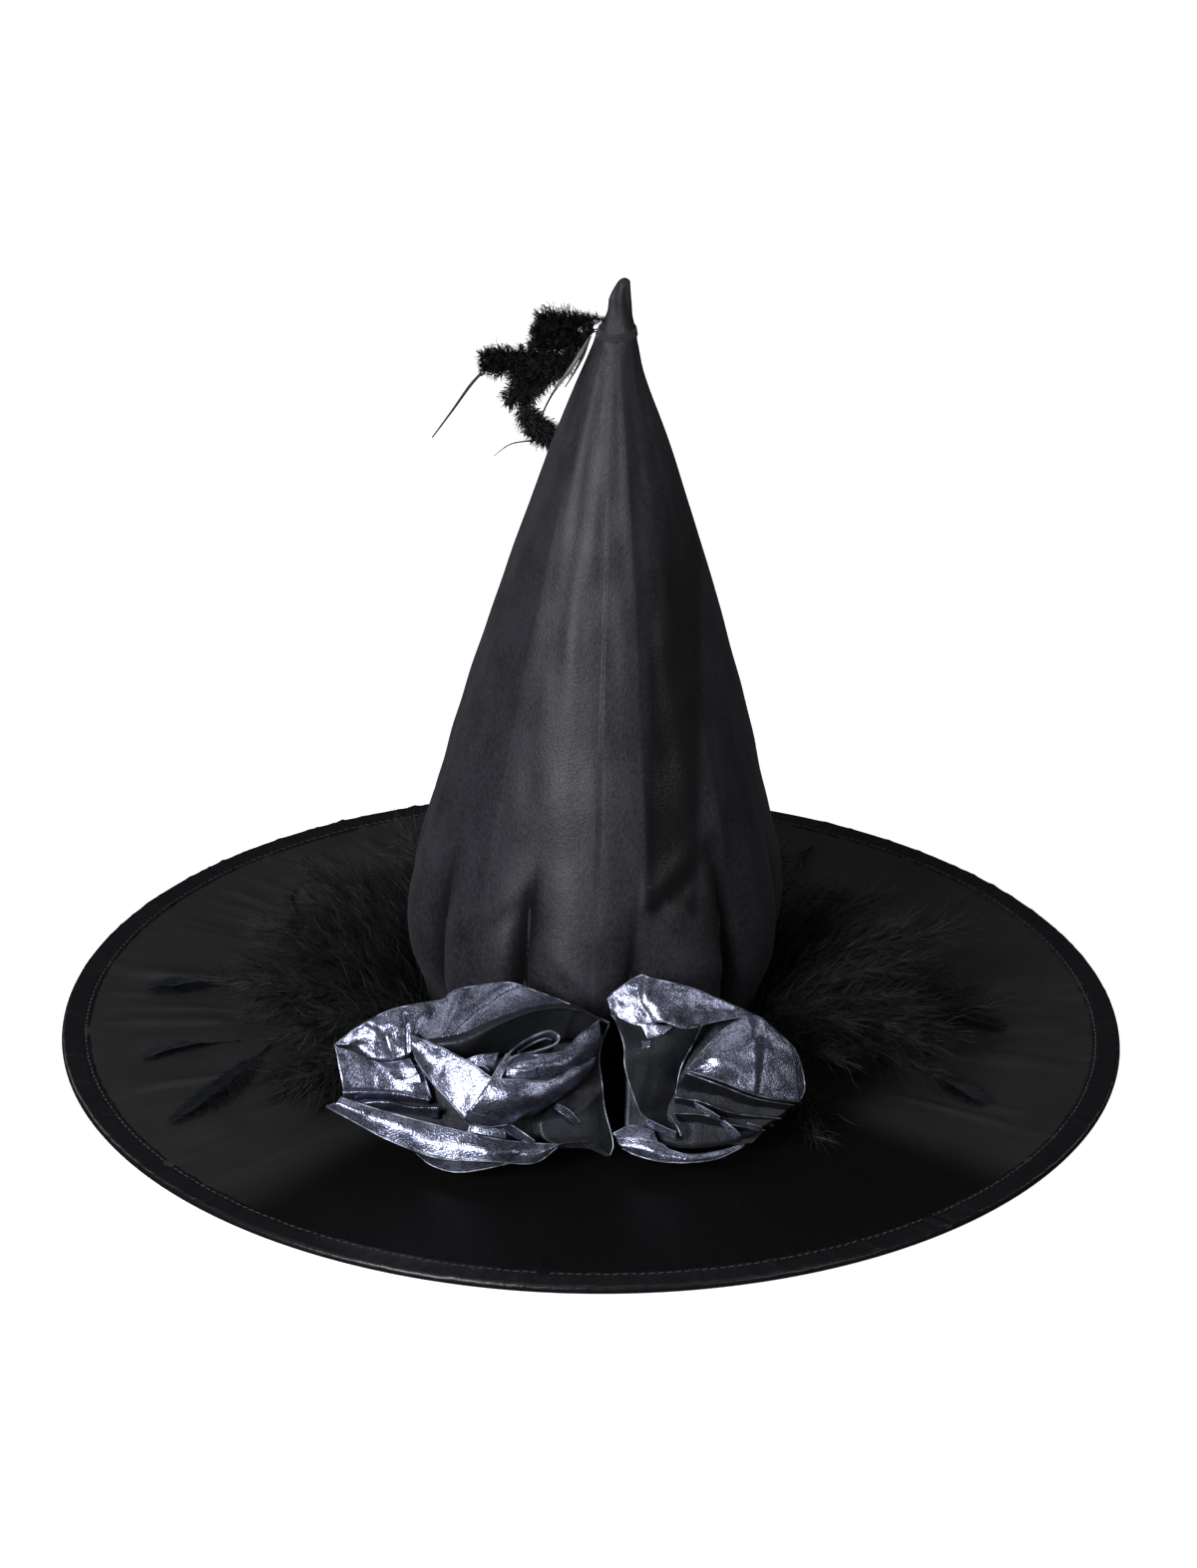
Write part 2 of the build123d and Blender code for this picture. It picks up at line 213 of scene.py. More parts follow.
floor_finish = finish(
    "floor_paper", (0.93, 0.93, 0.94), 0.9, None, 0.2, emission_color=(1, 1, 1), emission_strength=0.95
)
floor_level = hat_box[0][2] - 0.3 * mm
floor = piece(
    "floor",
    [(-6, -6, floor_level), (6, -6, floor_level), (6, 6, floor_level), (-6, 6, floor_level)],
    [(0, 1, 2, 3)],
    floor_finish,
)
floor.visible_diffuse = False
floor.visible_glossy = False

world = bpy.data.worlds.new("studio")
world.use_nodes = True
world.node_tree.nodes.clear()
sky = Value(world.node_tree)
dim = sky.node("ShaderNodeBackground", None, {"Color": (0.80, 0.84, 0.92, 1.0), "Strength": 0.032})
white = sky.node("ShaderNodeBackground", None, {"Color": (1.0, 1.0, 1.0, 1.0), "Strength": 1.0})
seen = sky.node("ShaderNodeLightPath", out="Is Camera Ray")
both = sky.node("ShaderNodeMixShader", None, {0: seen, 1: dim, 2: white})
sky.node("ShaderNodeOutputWorld", None, {"Surface": both})
bpy.context.scene.world = world


# ---------------------------------------------------------------- brim
# Two rounds of black taffeta over a stiff felt ring. The top one is drawn in by its binding,
# so that it is puckered all round but for a smooth, tight part in front.
def grid_faces(rows, columns, around=False, flip=False):
    """Quads that join a grid of points, row by row, closed round if asked."""
    row, column = np.meshgrid(np.arange(rows - 1), np.arange(columns if around else columns - 1))
    row, column = row.ravel(), column.ravel()
    after = (column + 1) % columns
    quads = [row * columns + column, row * columns + after]
    quads += [(row + 1) * columns + after, (row + 1) * columns + column]
    return np.stack(quads[::-1] if flip else quads, axis=1)


def waves(first, second, size, seed, count=9):
    """A smooth random height from -1 to 1 over two measures, with lumps as wide as size."""
    rng = np.random.default_rng(seed)
    height = np.zeros(np.broadcast(first, second).shape)
    for _ in range(count):
        turn, phase = rng.uniform(0, 2 * pi, 2)
        length = size * rng.uniform(0.7, 1.9)
        height += np.sin(2 * pi * (first * cos(turn) + second * sin(turn)) / length + phase)
    return height / (0.5 * count)


def step(value, start, end):
    """0 at start and 1 at end, smoothly."""
    share = np.clip((value - start) / (end - start), 0, 1)
    return share * share * (3 - 2 * share)


def solidify(obj, thickness):
    """Gives a sheet its thickness, inwards."""
    shell = obj.modifiers.new("thickness", "SOLIDIFY")
    shell.thickness = thickness
    shell.offset = -1.0


def front_angle(x, y):
    """Degrees round the hat from its front, positive towards the wearer's left."""
    return np.degrees(np.arctan2(x, -y))


def brim_puckers(angle, radius):
    """How far the top cloth stands up, in metres: ridges that run outwards, and two creases."""
    rng = np.random.default_rng(11)
    along = np.radians(angle)
    smooth_front = step(np.abs(angle - 6), 50, 62)
    height = np.zeros_like(radius)
    for _ in range(150):
        at = rng.uniform(-180, 180)
        width = rng.uniform(1.6, 5.0) * mm
        tall = rng.uniform(0.2, 1.0) * mm
        inner, outer = rng.uniform(0.14, 0.20), rng.uniform(0.222, 0.240)
        bend = rng.uniform(-0.05, 0.05)
        off = np.radians((angle - at + 180) % 360 - 180) * radius + bend * (radius - 0.19)
        ends = step(radius, inner, inner + 0.02) * (1 - step(radius, outer - 0.016, outer))
        height += tall * np.exp(-((off / width) ** 2)) * ends
    height *= 0.25 + 0.75 * smooth_front
    for _ in range(110):
        at = rng.uniform(-180, 180)
        off = np.radians((angle - at + 180) % 360 - 180) * radius
        gather = rng.uniform(0.2, 0.55) * mm * np.exp(-((off / (2.2 * mm)) ** 2))
        height += gather * step(radius, 0.218, 0.236)
    for at in (-46, 62):
        off = np.radians(angle - at) * radius
        height += 0.7 * mm * np.exp(-((off / (1.5 * mm)) ** 2)) * step(radius, 0.15, 0.17)
    height += 0.35 * mm * waves(np.cos(along) * radius, np.sin(along) * radius, 0.06, 3)
    return np.maximum(height, 0) * (1 - step(radius, 0.2385, 0.2415))


cover_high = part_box("brim_top_cover")[1]
cone_low, cone_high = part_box("crown_cover")
brim_radius = cover_high[0]
brim_top = cover_high[2]


def ring_at(node, z):
    """Half-widths of a node at a height where it has corners: side to side, front to back."""
    corners = np.array([v.co[:] for v in nodes[node].data.vertices])
    level = corners[np.abs(corners[:, 2] - z) < 0.05 * mm]
    return np.ptp(level[:, 0]) / 2, np.ptp(level[:, 1]) / 2


foot_x, foot_y = ring_at("crown_cover", cone_low[2])
around = np.linspace(0, 2 * pi, 640, endpoint=False)
outward = np.linspace(0, 1, 62)[:, None] ** 0.9
hole = np.stack([np.cos(around) * (foot_x + 0.1 * mm), np.sin(around) * (foot_y + 0.1 * mm)], axis=1)
rim = np.stack([np.cos(around), np.sin(around)], axis=1) * brim_radius
flat_points = hole[None] * (1 - outward[..., None]) + rim[None] * outward[..., None]
x, y = flat_points[..., 0], flat_points[..., 1]
z = brim_top + brim_puckers(front_angle(x, y), np.hypot(x, y))
points = np.stack([x, y, z], axis=2).reshape(-1, 3)


def weave(start, where, pitch, depth):
    """The bump of a plain weave: two sets of fine threads at right angles."""
    bands = {"Vector": where, "Scale": 0.31 / pitch}
    warp = start.node("ShaderNodeTexWave", {"bands_direction": "X"}, bands)
    weft = start.node("ShaderNodeTexWave", {"bands_direction": "Y"}, bands)
    slub = start.noise(where, pitch * 3, 3, (1, 0.25, 1))
    return (warp * 0.5 + weft * 0.5 + slub) * depth


def sheen_sides_painted_dark_front(start, where):
    """1 all round the brim except in its smooth front, which gets no coat and a colour darkened as painted
    shade.
    """
    parts = start.node("ShaderNodeSeparateXYZ", None, {0: where})
    east, north = parts, Value(start.tree, parts.socket.node.outputs[1])
    turn = start.maths("ARCTAN2", east, -north) - 0.1
    return turn.maths("ABSOLUTE", turn).smooth(0.72, 0.90)


def taffeta_colour(start, where, uv):
    mottle = start.noise(where, 0.035, 4)
    # Random mottle, darkened in the front sector as painted shade.
    shade = (mottle * 0.5 + 0.5) * (sheen_sides_painted_dark_front(start, where) * 0.9 + 0.1)
    return shade.mix((0.003, 0.003, 0.003), (0.033, 0.033, 0.034))


def taffeta_rough(start, where, uv):
    return start.noise(where, 0.02, 3) * 0.14 + 0.36


def taffeta_bump(start, where, uv):
    return weave(start, where, 0.45 * mm, 0.05) + start.noise(where, 1.4 * mm, 2) * 0.16


taffeta = finish(
    "black_taffeta",
    taffeta_colour,
    taffeta_rough,
    taffeta_bump,
    0.07,
    coat_weight=lambda start, where, uv: sheen_sides_painted_dark_front(start, where) * 0.42,
    coat_roughness=0.36,
)
brim_cover = piece(
    "brim_top_cloth", points, grid_faces(len(outward), len(around), around=True), taffeta, points[:, :2]
)
solidify(brim_cover, 0.3 * mm)
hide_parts("brim_top_cover")
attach(brim_cover, "hat")


def use(node, material):
    """Gives a CAD node its finish."""
    data = nodes[node].data
    data.materials.clear()
    data.materials.append(material)


felt = finish(
    "stiff_felt",
    lambda start, where, uv: start.noise(where, 2 * mm, 6).mix((0.010, 0.010, 0.011), (0.035, 0.035, 0.037)),
    0.95,
    lambda start, where, uv: start.noise(where, 0.5 * mm, 5) * 0.5,
    0.25,
    sheen_weight=0.3,
)
steel = finish(
    "spring_steel",
    lambda start, where, uv: start.noise(where, 6 * mm, 3).mix((0.30, 0.30, 0.31), (0.52, 0.52, 0.53)),
    0.35,
    lambda start, where, uv: start.noise(where, 0.3 * mm, 2) * 0.05,
    metallic=1.0,
)
use("brim_under_cover", taffeta)
use("brim_stiffener", felt)
use("brim_wire", steel)
use("wire_sleeve", steel)

# ---------------------------------------------------------------- edge of the brim
# A bias strip of black satin folded over the wire and sewn down with one line of stitches,
# whose free end laps over at the wearer's left.
binding_low, binding_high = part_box("brim_binding")
edge_radius = binding_high[0]
edge_thick = binding_high[2] - binding_low[2]
edge_middle = edge_radius - edge_thick / 2
band_inner = edge_radius - 13.0 * mm
stitch_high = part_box("binding_stitches")[1]
stitch_radius = stitch_high[0] - 0.25 * mm

across = []
for share in np.linspace(0, 1, 12):
    across.append((edge_middle - (1 - share) * (edge_middle - band_inner), 1.0))
for turn in np.linspace(pi / 2, -pi / 2, 9)[1:-1]:
    across.append((edge_radius - edge_thick / 2 * (1 - cos(turn)), sin(turn)))
for share in np.linspace(1, 0, 7):
    across.append((edge_middle - (1 - share) * (edge_middle - band_inner), -1.0))
across = np.array(across)
turns = np.linspace(0, 2 * pi, 840, endpoint=False)
angle = np.degrees(turns)[None, :]
radius = across[:, :1] + np.zeros_like(angle)
side = across[:, 1:]
middle = (binding_low[2] + binding_high[2]) / 2
lift = np.zeros_like(radius)
rng = np.random.default_rng(21)
for _ in range(260):
    at, slant = rng.uniform(0, 360), rng.uniform(-0.5, 0.5)
    off = np.radians((angle - at + 180) % 360 - 180) * radius + slant * (radius - stitch_radius)
    lift += rng.uniform(0.1, 0.45) * mm * np.exp(-((off / (rng.uniform(1.0, 2.4) * mm)) ** 2))
groove = np.exp(-(((radius - stitch_radius) / (0.9 * mm)) ** 2))
on_top = step(side, 0.2, 1.0)
height = middle + side * edge_thick / 2 + np.zeros_like(radius)
height += on_top * (lift * (1 - 0.8 * groove) + 0.35 * mm * (1 - groove))
points = np.stack([radius * np.cos(turns), radius * np.sin(turns), height], axis=2).reshape(-1, 3)
run = np.cumsum(np.r_[0, np.hypot(np.diff(across[:, 0]), np.diff(across[:, 1]) * edge_thick / 2)])
round_edge = np.broadcast_to(turns * edge_radius, radius.shape)
uv = np.stack([round_edge, np.broadcast_to(run[:, None], radius.shape)], axis=2)


def satin_bump(start, where, uv):
    """Satin's long floats: fine streaks along the cloth and a little broad unevenness."""
    floats = start.noise(uv, 0.9 * mm, 2, (1.0, 0.16, 1))
    return floats * 0.14 + start.noise(uv, 6 * mm, 2) * 0.25


binding_satin = finish(
    "binding_satin",
    lambda start, where, uv: start.noise(uv, 0.012, 4).mix((0.004, 0.004, 0.005), (0.012, 0.012, 0.014)),
    lambda start, where, uv: start.noise(uv, 0.004, 3) * 0.16 + 0.24,
    satin_bump,
    0.42,
)
binding = piece(
    "edge_binding",
    points,
    grid_faces(len(across), len(turns), around=True, flip=True),
    binding_satin,
    uv.reshape(-1, 2),
)
solidify(binding, 0.3 * mm)
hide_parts("brim_binding")
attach(binding, "hat")
lap_grid, lap_uv = [], []
for out_share in np.linspace(0, 1, 12):
    for across_share in np.linspace(-1, 1, 6):
        reach = edge_radius - 12 * mm + out_share * (12.2 + 1.1 * across_share) * mm
        at = np.radians(38.5) + (across_share * 3.0 + out_share * 1.6) * mm / edge_radius
        drop = 1.6 * mm * max(out_share - 0.86, 0) / 0.14
        level = binding_high[2] + (0.55 + 0.25 * across_share) * mm - drop
        lap_grid.append((reach * sin(at), -reach * cos(at), level))
        lap_uv.append((at * edge_radius, reach))
lap = piece("binding_lap", lap_grid, grid_faces(12, 6, flip=True), binding_satin, lap_uv)
solidify(lap, 0.4 * mm)
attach(lap, "hat")


def thread_bump(start, where, uv):
    ply = start.node("ShaderNodeTexWave", {"bands_direction": "DIAGONAL"}, {"Vector": where, "Scale": 900.0})
    return ply * 0.1


thread = finish(
    "black_thread",
    lambda start, where, uv: start.noise(where, 1 * mm, 2).mix((0.008, 0.008, 0.009), (0.03, 0.03, 0.033)),
    0.5,
    thread_bump,
    sheen_weight=0.3,
)


def geometry_tree(name, inputs):
    """A Geometry Nodes tree with named inputs, its first value and a lookup of its inputs."""
    tree = bpy.data.node_groups.new(name, "GeometryNodeTree")
    tree.interface.new_socket("Geometry", in_out="INPUT", socket_type="NodeSocketGeometry")
    for label, default in inputs.items():
        kind = {int: "Int", float: "Float", bpy.types.Material: "Material"}[type(default)]
        socket = tree.interface.new_socket(label, in_out="INPUT", socket_type="NodeSocket" + kind)
        if kind != "Material":
            socket.default_value = default
    tree.interface.new_socket("Geometry", in_out="OUTPUT", socket_type="NodeSocketGeometry")
    entry = tree.nodes.new("NodeGroupInput")
    return Value(tree), {socket.name: Value(tree, socket) for socket in entry.outputs if socket.name}


def grow(name, obj, tree, values):
    """Runs a Geometry Nodes tree on an object and keeps the result as a plain mesh."""
    modifier = obj.modifiers.new("grow", "NODES")
    modifier.node_group = tree
    known = {i.name: i.identifier for i in tree.interface.items_tree if i.in_out == "INPUT"}
    for label, value in values.items():
        modifier[known[label]] = value
    bpy.context.view_layer.update()
    whole = obj.evaluated_get(bpy.context.evaluated_depsgraph_get())
    mesh = bpy.data.meshes.new_from_object(whole)
    mesh.materials.clear()
    mesh.materials.append(values["Material"])
    mesh.polygons.foreach_set("material_index", [0] * len(mesh.polygons))
    made = bpy.data.objects.new(name, mesh)
    bpy.context.scene.collection.objects.link(made)
    bpy.data.objects.remove(obj)
    return made


def path_object(paths, reach=None):
    """Open lines of points as one object of edges, with each point's own reach."""
    mesh = bpy.data.meshes.new("paths")
    edges, first = [], 0
    for path in paths:
        edges += [(first + i, first + i + 1) for i in range(len(path) - 1)]
        first += len(path)
    mesh.from_pydata([tuple(p) for path in paths for p in path], edges, [])
    if reach is not None:
        layer = mesh.attributes.new("reach", "FLOAT", "POINT")
        layer.data.foreach_set("value", np.concatenate(reach).astype(np.float32))
    made = bpy.data.objects.new("paths", mesh)
    bpy.context.scene.collection.objects.link(made)
    return made


start, given = geometry_tree(
    "sewn_stitches",
    {"Pitch": 0.004, "Length": 0.003, "Thickness": 0.0005, "Slant": 0.1, "Material": thread},
)
line = start.node("GeometryNodeMeshToCurve", None, {0: given["Geometry"]})
line = start.node("GeometryNodeSetCurveNormal", {"mode": "Z_UP"}, {0: line})
every = {"Curve": line, "Length": given["Pitch"]}
spots = start.node("GeometryNodeCurveToPoints", {"mode": "LENGTH"}, every)
turned = Value(start.tree, spots.socket.node.outputs["Rotation"])
one = start.node("GeometryNodeMeshUVSphere", None, {"Segments": 6, "Rings": 5, "Radius": 0.5})
thick = given["Thickness"]
size = start.node("ShaderNodeCombineXYZ", None, {0: thick, 1: thick, 2: given["Length"]})
lean = start.node("ShaderNodeCombineXYZ", None, {0: given["Slant"], 1: 0.0, 2: 0.0})
lean = start.node("FunctionNodeEulerToRotation", None, {0: lean})
turned = start.node("FunctionNodeRotateRotation", {"rotation_space": "LOCAL"}, {0: turned, 1: lean})
rows = start.node(
    "GeometryNodeInstanceOnPoints",
    None,
    {"Points": spots, "Instance": one, "Rotation": turned, "Scale": size},
)
rows = start.node("GeometryNodeRealizeInstances", None, {0: rows})
rows = start.node("GeometryNodeSetShadeSmooth", None, {0: rows})
rows = start.node("GeometryNodeSetMaterial", None, {0: rows, "Material": given["Material"]})
start.node("NodeGroupOutput", None, {0: rows})
stitch_tree = start.tree

ring = np.linspace(0, 2 * pi, 721)
stitch_level = np.full_like(ring, stitch_high[2] - 0.05 * mm)
stitch_line = np.stack([np.cos(ring) * stitch_radius, np.sin(ring) * stitch_radius, stitch_level], axis=1)
stitches = grow(
    "binding_stitch_row",
    path_object([stitch_line]),
    stitch_tree,
    {"Pitch": 3.9 * mm, "Length": 3.1 * mm, "Thickness": 0.6 * mm, "Slant": 0.12, "Material": thread},
)
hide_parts("binding_stitches")
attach(stitches, "hat")

# ---------------------------------------------------------------- cone
# Thin black satin, seamed at the back and drawn in where it is sewn to the brim, over a limp
# lining. It was stored flat, which left a long ridge down its front and soft folds at its foot.
corners = np.array([v.co[:] for v in nodes["crown_cover"].data.vertices])
levels = np.unique(np.round(corners[:, 2], 4))
counts = np.array([np.sum(np.abs(corners[:, 2] - z) < 0.05 * mm) for z in levels])
levels = levels[counts > 0.5 * np.sort(counts)[-12]]
rings = []
for z in levels:
    ring_points = corners[np.abs(corners[:, 2] - z) < 0.05 * mm]
    low, high = ring_points.min(axis=0), ring_points.max(axis=0)
    rings.append((z, (low[0] + high[0]) / 2, (high[0] - low[0]) / 2, (high[1] - low[1]) / 2))
rings = np.array([r for r in rings if r[2] > 0.6 * mm or r[0] > cone_high[2] - 1 * mm])
fine = np.arange(cone_low[2], cone_high[2] + 0.5 * mm, 0.5 * mm)
smooth_rings = np.array([np.interp(fine, rings[:, 0], rings[:, i]) for i in (1, 2, 3)])


def smoothed(rows, reach):
    """Each row averaged over a bell-shaped window that reaches so many places each way."""
    bell = np.hanning(2 * reach + 3)[1:-1]
    longer = np.pad(rows, ((0, 0), (reach, reach)), mode="reflect", reflect_type="odd")
    return np.array([np.convolve(row, bell / bell.sum(), "valid") for row in longer])


near_tip = step(fine, 0.30, 0.335)
smooth_rings = smoothed(smooth_rings, 44) * (1 - near_tip) + smoothed(smooth_rings, 12) * near_tip


def cone_at(z):
    """The cone's middle and its half-widths at a height."""
    return [np.interp(z, fine, row) for row in smooth_rings]


# Each fold at the foot: degrees round from the front, how wide its left and right sides are,
# how deep it is and how far up it goes, in millimetres, and its lean in degrees.
foot_folds = [
    (-158, 5, 5, 4.5, 98, -3),
    (-128, 6, 4, 6.0, 120, 7),
    (-95, 4, 7, 5.0, 95, 4),
    (-60, 7, 3, 6.0, 112, 6),
    (-26, 2.3, 5.5, 10.5, 122, 4),
    (9, 4, 2.6, 6.2, 98, 5),
    (50, 3, 7, 7.0, 130, -8),
    (84, 4, 7, 6.0, 100, -5),
    (120, 6, 3, 6.0, 112, -7),
    (154, 4, 6, 5.0, 86, 3),
]
# Slanting creases where the puffs buckle: angle, height, length, slope, width, depth.
buckles = [
    (28, 108, 24, 0.6, 4.0, 2.0),
    (40, 120, 20, -0.8, 3.6, 1.7),
    (22, 92, 15, -1.1, 3.4, 1.5),
    (-3, 60, 18, -0.9, 3.0, 2.0),
    (4, 46, 16, 0.9, 2.6, 1.8),
    (-14, 42, 13, -1.2, 2.6, 1.6),
    (-38, 84, 20, 0.8, 3.4, 1.4),
    (34, 46, 16, 0.7, 3.0, 1.6),
    (38, 60, 14, -0.5, 3.0, 1.3),
    (110, 92, 24, 0.8, 4.0, 1.8),
    (-80, 96, 24, -0.8, 4.0, 1.8),
    (170, 88, 20, 0.9, 4.0, 1.7),
    (-140, 84, 22, -0.7, 4.0, 1.7),
]


def cone_folds(angle, z):
    """How far the cloth stands out from the plain cone, in metres."""
    middle, half_x, half_y = cone_at(z)
    radius = (half_x + half_y) / 2
    up = (z - brim_top) / mm
    out = np.zeros(np.broadcast(angle, z).shape)

    def off(at):
        return np.radians((angle - at + 180) % 360 - 180) * radius / mm

    full = step(up, 3, 30) * (1 - step(up, 58, 138))
    for one, after in zip(foot_folds, foot_folds[1:] + foot_folds[:1]):
        first = one[0] + one[5] * (up - 20) / 100
        span = (after[0] + after[5] * (up - 20) / 100 - first) % 360
        share = (angle - first) % 360 / span
        puff = 0.105 * np.radians(span) * radius / mm * full
        bulge = np.clip(4 * share * (1 - share), 0, 1) ** 0.62
        raised = puff * (bulge - 1 + 0.62 * step(up, 27, 52))
        out += np.where(share <= 1, raised, 0)
    for at, left, right, deep, top, lean in foot_folds:
        side = off(at + lean * (up - 20) / 100)
        width = np.where(side < 0, left, right) * (0.75 + up / 110)
        fade = step(up, 4, 26) * (1 - step(up, top * 0.35, top))
        out -= deep * np.exp(-np.abs(side / width) ** 1.2) * fade
    for at, height, length, slope, width, deep in buckles:
        side, rise = off(at), up - height
        along = (side + slope * rise) / (1 + slope * slope) ** 0.5
        aside = (rise - slope * side) / (1 + slope * slope) ** 0.5
        out -= 0.62 * deep * np.exp(-((aside / width / 1.3) ** 2) - (along / length) ** 2)
        out += deep * 0.5 * np.exp(-(((aside - 2.2 * width) / (1.6 * width)) ** 2) - (along / length) ** 2)
    # long creases from being folded flat: angle, reach to its left and right, height, from and to
    for at, left, right, tall, low, high in (
        (16, 17.0, 5.5, 2.3, 90, 345),
        (-164, 8.0, 16.0, 2.0, 100, 345),
        (47, 9.0, 5.0, 1.5, 95, 215),
        (-40, 14.0, 9.0, 1.2, 110, 300),
        (-75, 9.0, 9.0, 1.0, 100, 320),
        (100, 9.0, 12.0, 1.4, 90, 320),
    ):
        side = off(at)
        rise = np.where(side < 0, np.exp(np.minimum(side, 0) / left), np.exp(-np.maximum(side, 0) / right))
        fade = step(up, low - 25, low + 25) * (1 - step(up, high - 28, high))
        out += tall * rise * fade * np.clip(radius / (30 * mm), 0.35, 1)
    grow_up = np.clip(radius / (45 * mm), 0.25, 1) * step(up, 25, 60) * (1 - step(up, 325, 345))
    out += 0.8 * waves(np.radians(angle) * 0.075, z * 0.16, 0.034, 5) * grow_up
    out += 0.25 * waves(np.radians(angle) * 0.075, z * 0.35, 0.012, 6) * grow_up
    pull = step(up, 2, 8) * (1 - step(up, 16, 42))
    for i in range(60):
        at = -180 + 6 * i + 2.2 * sin(i * 7.3)
        out -= (0.5 + 0.5 * sin(i * 3.1) ** 2) * np.exp(-((off(at) / 1.6) ** 2)) * pull
    out *= 1 - step(up, 335, 352) * 0.7
    nub = step(up, 336, 346) * (1 - step(up, 360, 367))
    out += 0.5 * np.sin(np.radians(angle) * 5 + up * 0.25) * nub
    return out * mm


turns = np.linspace(0, 360, 360, endpoint=False)
turns = turns - 7.0 * np.sin(np.radians(turns))
rows_z = np.concatenate(
    [
        np.linspace(cone_low[2], 0.135, 68, endpoint=False),
        np.linspace(0.135, cone_high[2] - 12 * mm, 52, endpoint=False),
        np.linspace(cone_high[2] - 12 * mm, cone_high[2] - 3 * mm, 6, endpoint=False),
        cone_high[2] - 3 * mm * np.linspace(1, 0.06, 7) ** 2,
    ]
)
nub_lift = 2.3 * mm  # the tip is rolled a little higher than the plain cone
nub_aside = 1.9 * mm  # and it leans to the wearer's left


def cone_points(inset, heights, columns):
    """Rings of the cone's cloth, a given distance inside its outside."""
    angle, z = np.meshgrid(columns, heights)
    middle, half_x, half_y = cone_at(z)
    below = (cone_high[2] - z) / mm
    dome = np.sqrt(1 - (1 - np.clip(below / 2.6, 0, 1)) ** 2)
    rolled = np.interp(below, [0, 2, 4, 9, 15, 20], [2.7, 3.0, 3.5, 4.8, 5.4, 6.4]) * mm
    rolling = 1 - step(below, 14, 24)
    half_x = (half_x * (1 - rolling) + rolled * rolling) * dome
    half_y = (half_y * (1 - rolling) + rolled * rolling) * dome
    middle = middle + nub_aside * (1 - step(below, 0, 10))
    out = cone_folds(angle, z) * np.minimum(dome, 1) - inset
    z = z + nub_lift * (1 - step(below, 0, 26))
    x = middle + np.maximum(half_x + out, 0.3 * mm) * np.sin(np.radians(angle))
    y = -np.maximum(half_y + out, 0.3 * mm) * np.cos(np.radians(angle))
    return np.stack([x, y, z], axis=2)


def closed_top(grid, tip):
    """Faces of the rings and of the fan that closes them at the top."""
    rows, columns = grid.shape[:2]
    faces = [tuple(f) for f in grid_faces(rows, columns, around=True)]
    last = (rows - 1) * columns
    faces += [(last + i, last + (i + 1) % columns, rows * columns) for i in range(columns)]
    return np.vstack([grid.reshape(-1, 3), tip]), faces


grid = cone_points(0, rows_z, turns)
points, faces = closed_top(grid, [cone_at(cone_high[2])[0] + nub_aside, 0, cone_high[2] + nub_lift])
uv = np.stack([np.r_[np.tile(turns, len(rows_z)), 0] / 360 * 0.53, points[:, 2]], axis=1)


def painted_shade_and_gloss(spots):
    """Painted shade at each point, where the satin is also made glossier: in the folds at the foot and in one
    dark patch in front.
    """
    x, y, z = np.array(spots).T
    middle, half_x, half_y = cone_at(z)
    radius = (half_x + half_y) / 2
    up = (z - brim_top) / mm
    angle = np.degrees(np.arctan2((x - middle) / half_x, -y / half_y))
    # Painted shade along each fold at the foot.
    painted_shade = np.zeros(len(z))
    for at, left, right, deep, top, lean in foot_folds:
        side = np.radians((angle - at - lean * (up - 20) / 100 + 180) % 360 - 180) * radius / mm
        width = 4.0 + np.clip(up, 0, 60) / 40
        fade = step(up, -4, 12) * (1 - step(up, top * 0.8, top * 1.08)) * min(deep / 7, 1)
        painted_shade = np.maximum(painted_shade, np.exp(-((np.abs(side) / width) ** 2.6)) * fade)
    # A dark patch in front, painted as shade, with a ragged lower edge.
    ragged = 4 * np.abs(np.sin(x / (2.6 * mm))) + 5 * np.sin(x / (7 * mm))
    painted_light_mask = step(x, 21 * mm, 26 * mm) * (1 - step(x, 45 * mm, 50 * mm)) * (y < 0)
    painted_light_mask = painted_light_mask * step(up + ragged, 97, 103) * (1 - step(up, 225, 300))
    return np.maximum(painted_shade, painted_light_mask * 0.95)


def painted_shade_and_gloss_map(start):
    return start.node("ShaderNodeAttribute", {"attribute_name": "painted_shade_and_gloss"}, out="Fac")


def crown_colour(start, where, uv):
    mottle = start.noise(where, 0.014, 4, (1, 1, 0.6))
    speck = start.noise(uv, 1.5 * mm, 2, (1.0, 0.6, 1))
    # The colour is darkened as painted shade in the folds at the foot and in one patch in front.
    cloth = (mottle * 0.55 + speck * 0.65).smooth(0.25, 0.9) * (1 - painted_shade_and_gloss_map(start) * 0.95)
    return cloth.mix((0.005, 0.005, 0.0055), (0.038, 0.036, 0.047))


def crown_bump(start, where, uv):
    floats = start.noise(uv, 0.7 * mm, 2, (1.0, 0.2, 1))
    grain = start.noise(where, 1.1 * mm, 2)
    return floats * 0.10 + grain * 0.14 + start.noise(where, 9 * mm, 2, (1, 1, 0.4)) * 0.22


def crown_rough(start, where, uv):
    handled = start.noise(where, 0.016, 4) * 0.16 + start.noise(uv, 1.5 * mm, 2) * 0.14
    return handled + 0.32 - painted_shade_and_gloss_map(start) * 0.15


crown_satin = finish(
    "black_crown_satin",
    crown_colour,
    crown_rough,
    crown_bump,
    0.38,
    sheen_weight=0.05,
)
cone = piece("cone_satin", points, faces, crown_satin, uv)
# Each point keeps its painted shade, which the roughness also reads as extra gloss.
cone.data.attributes.new("painted_shade_and_gloss", "FLOAT", "POINT").data.foreach_set("value", painted_shade_and_gloss(points))
solidify(cone, 0.25 * mm)
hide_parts("crown_cover")
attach(cone, "hat")

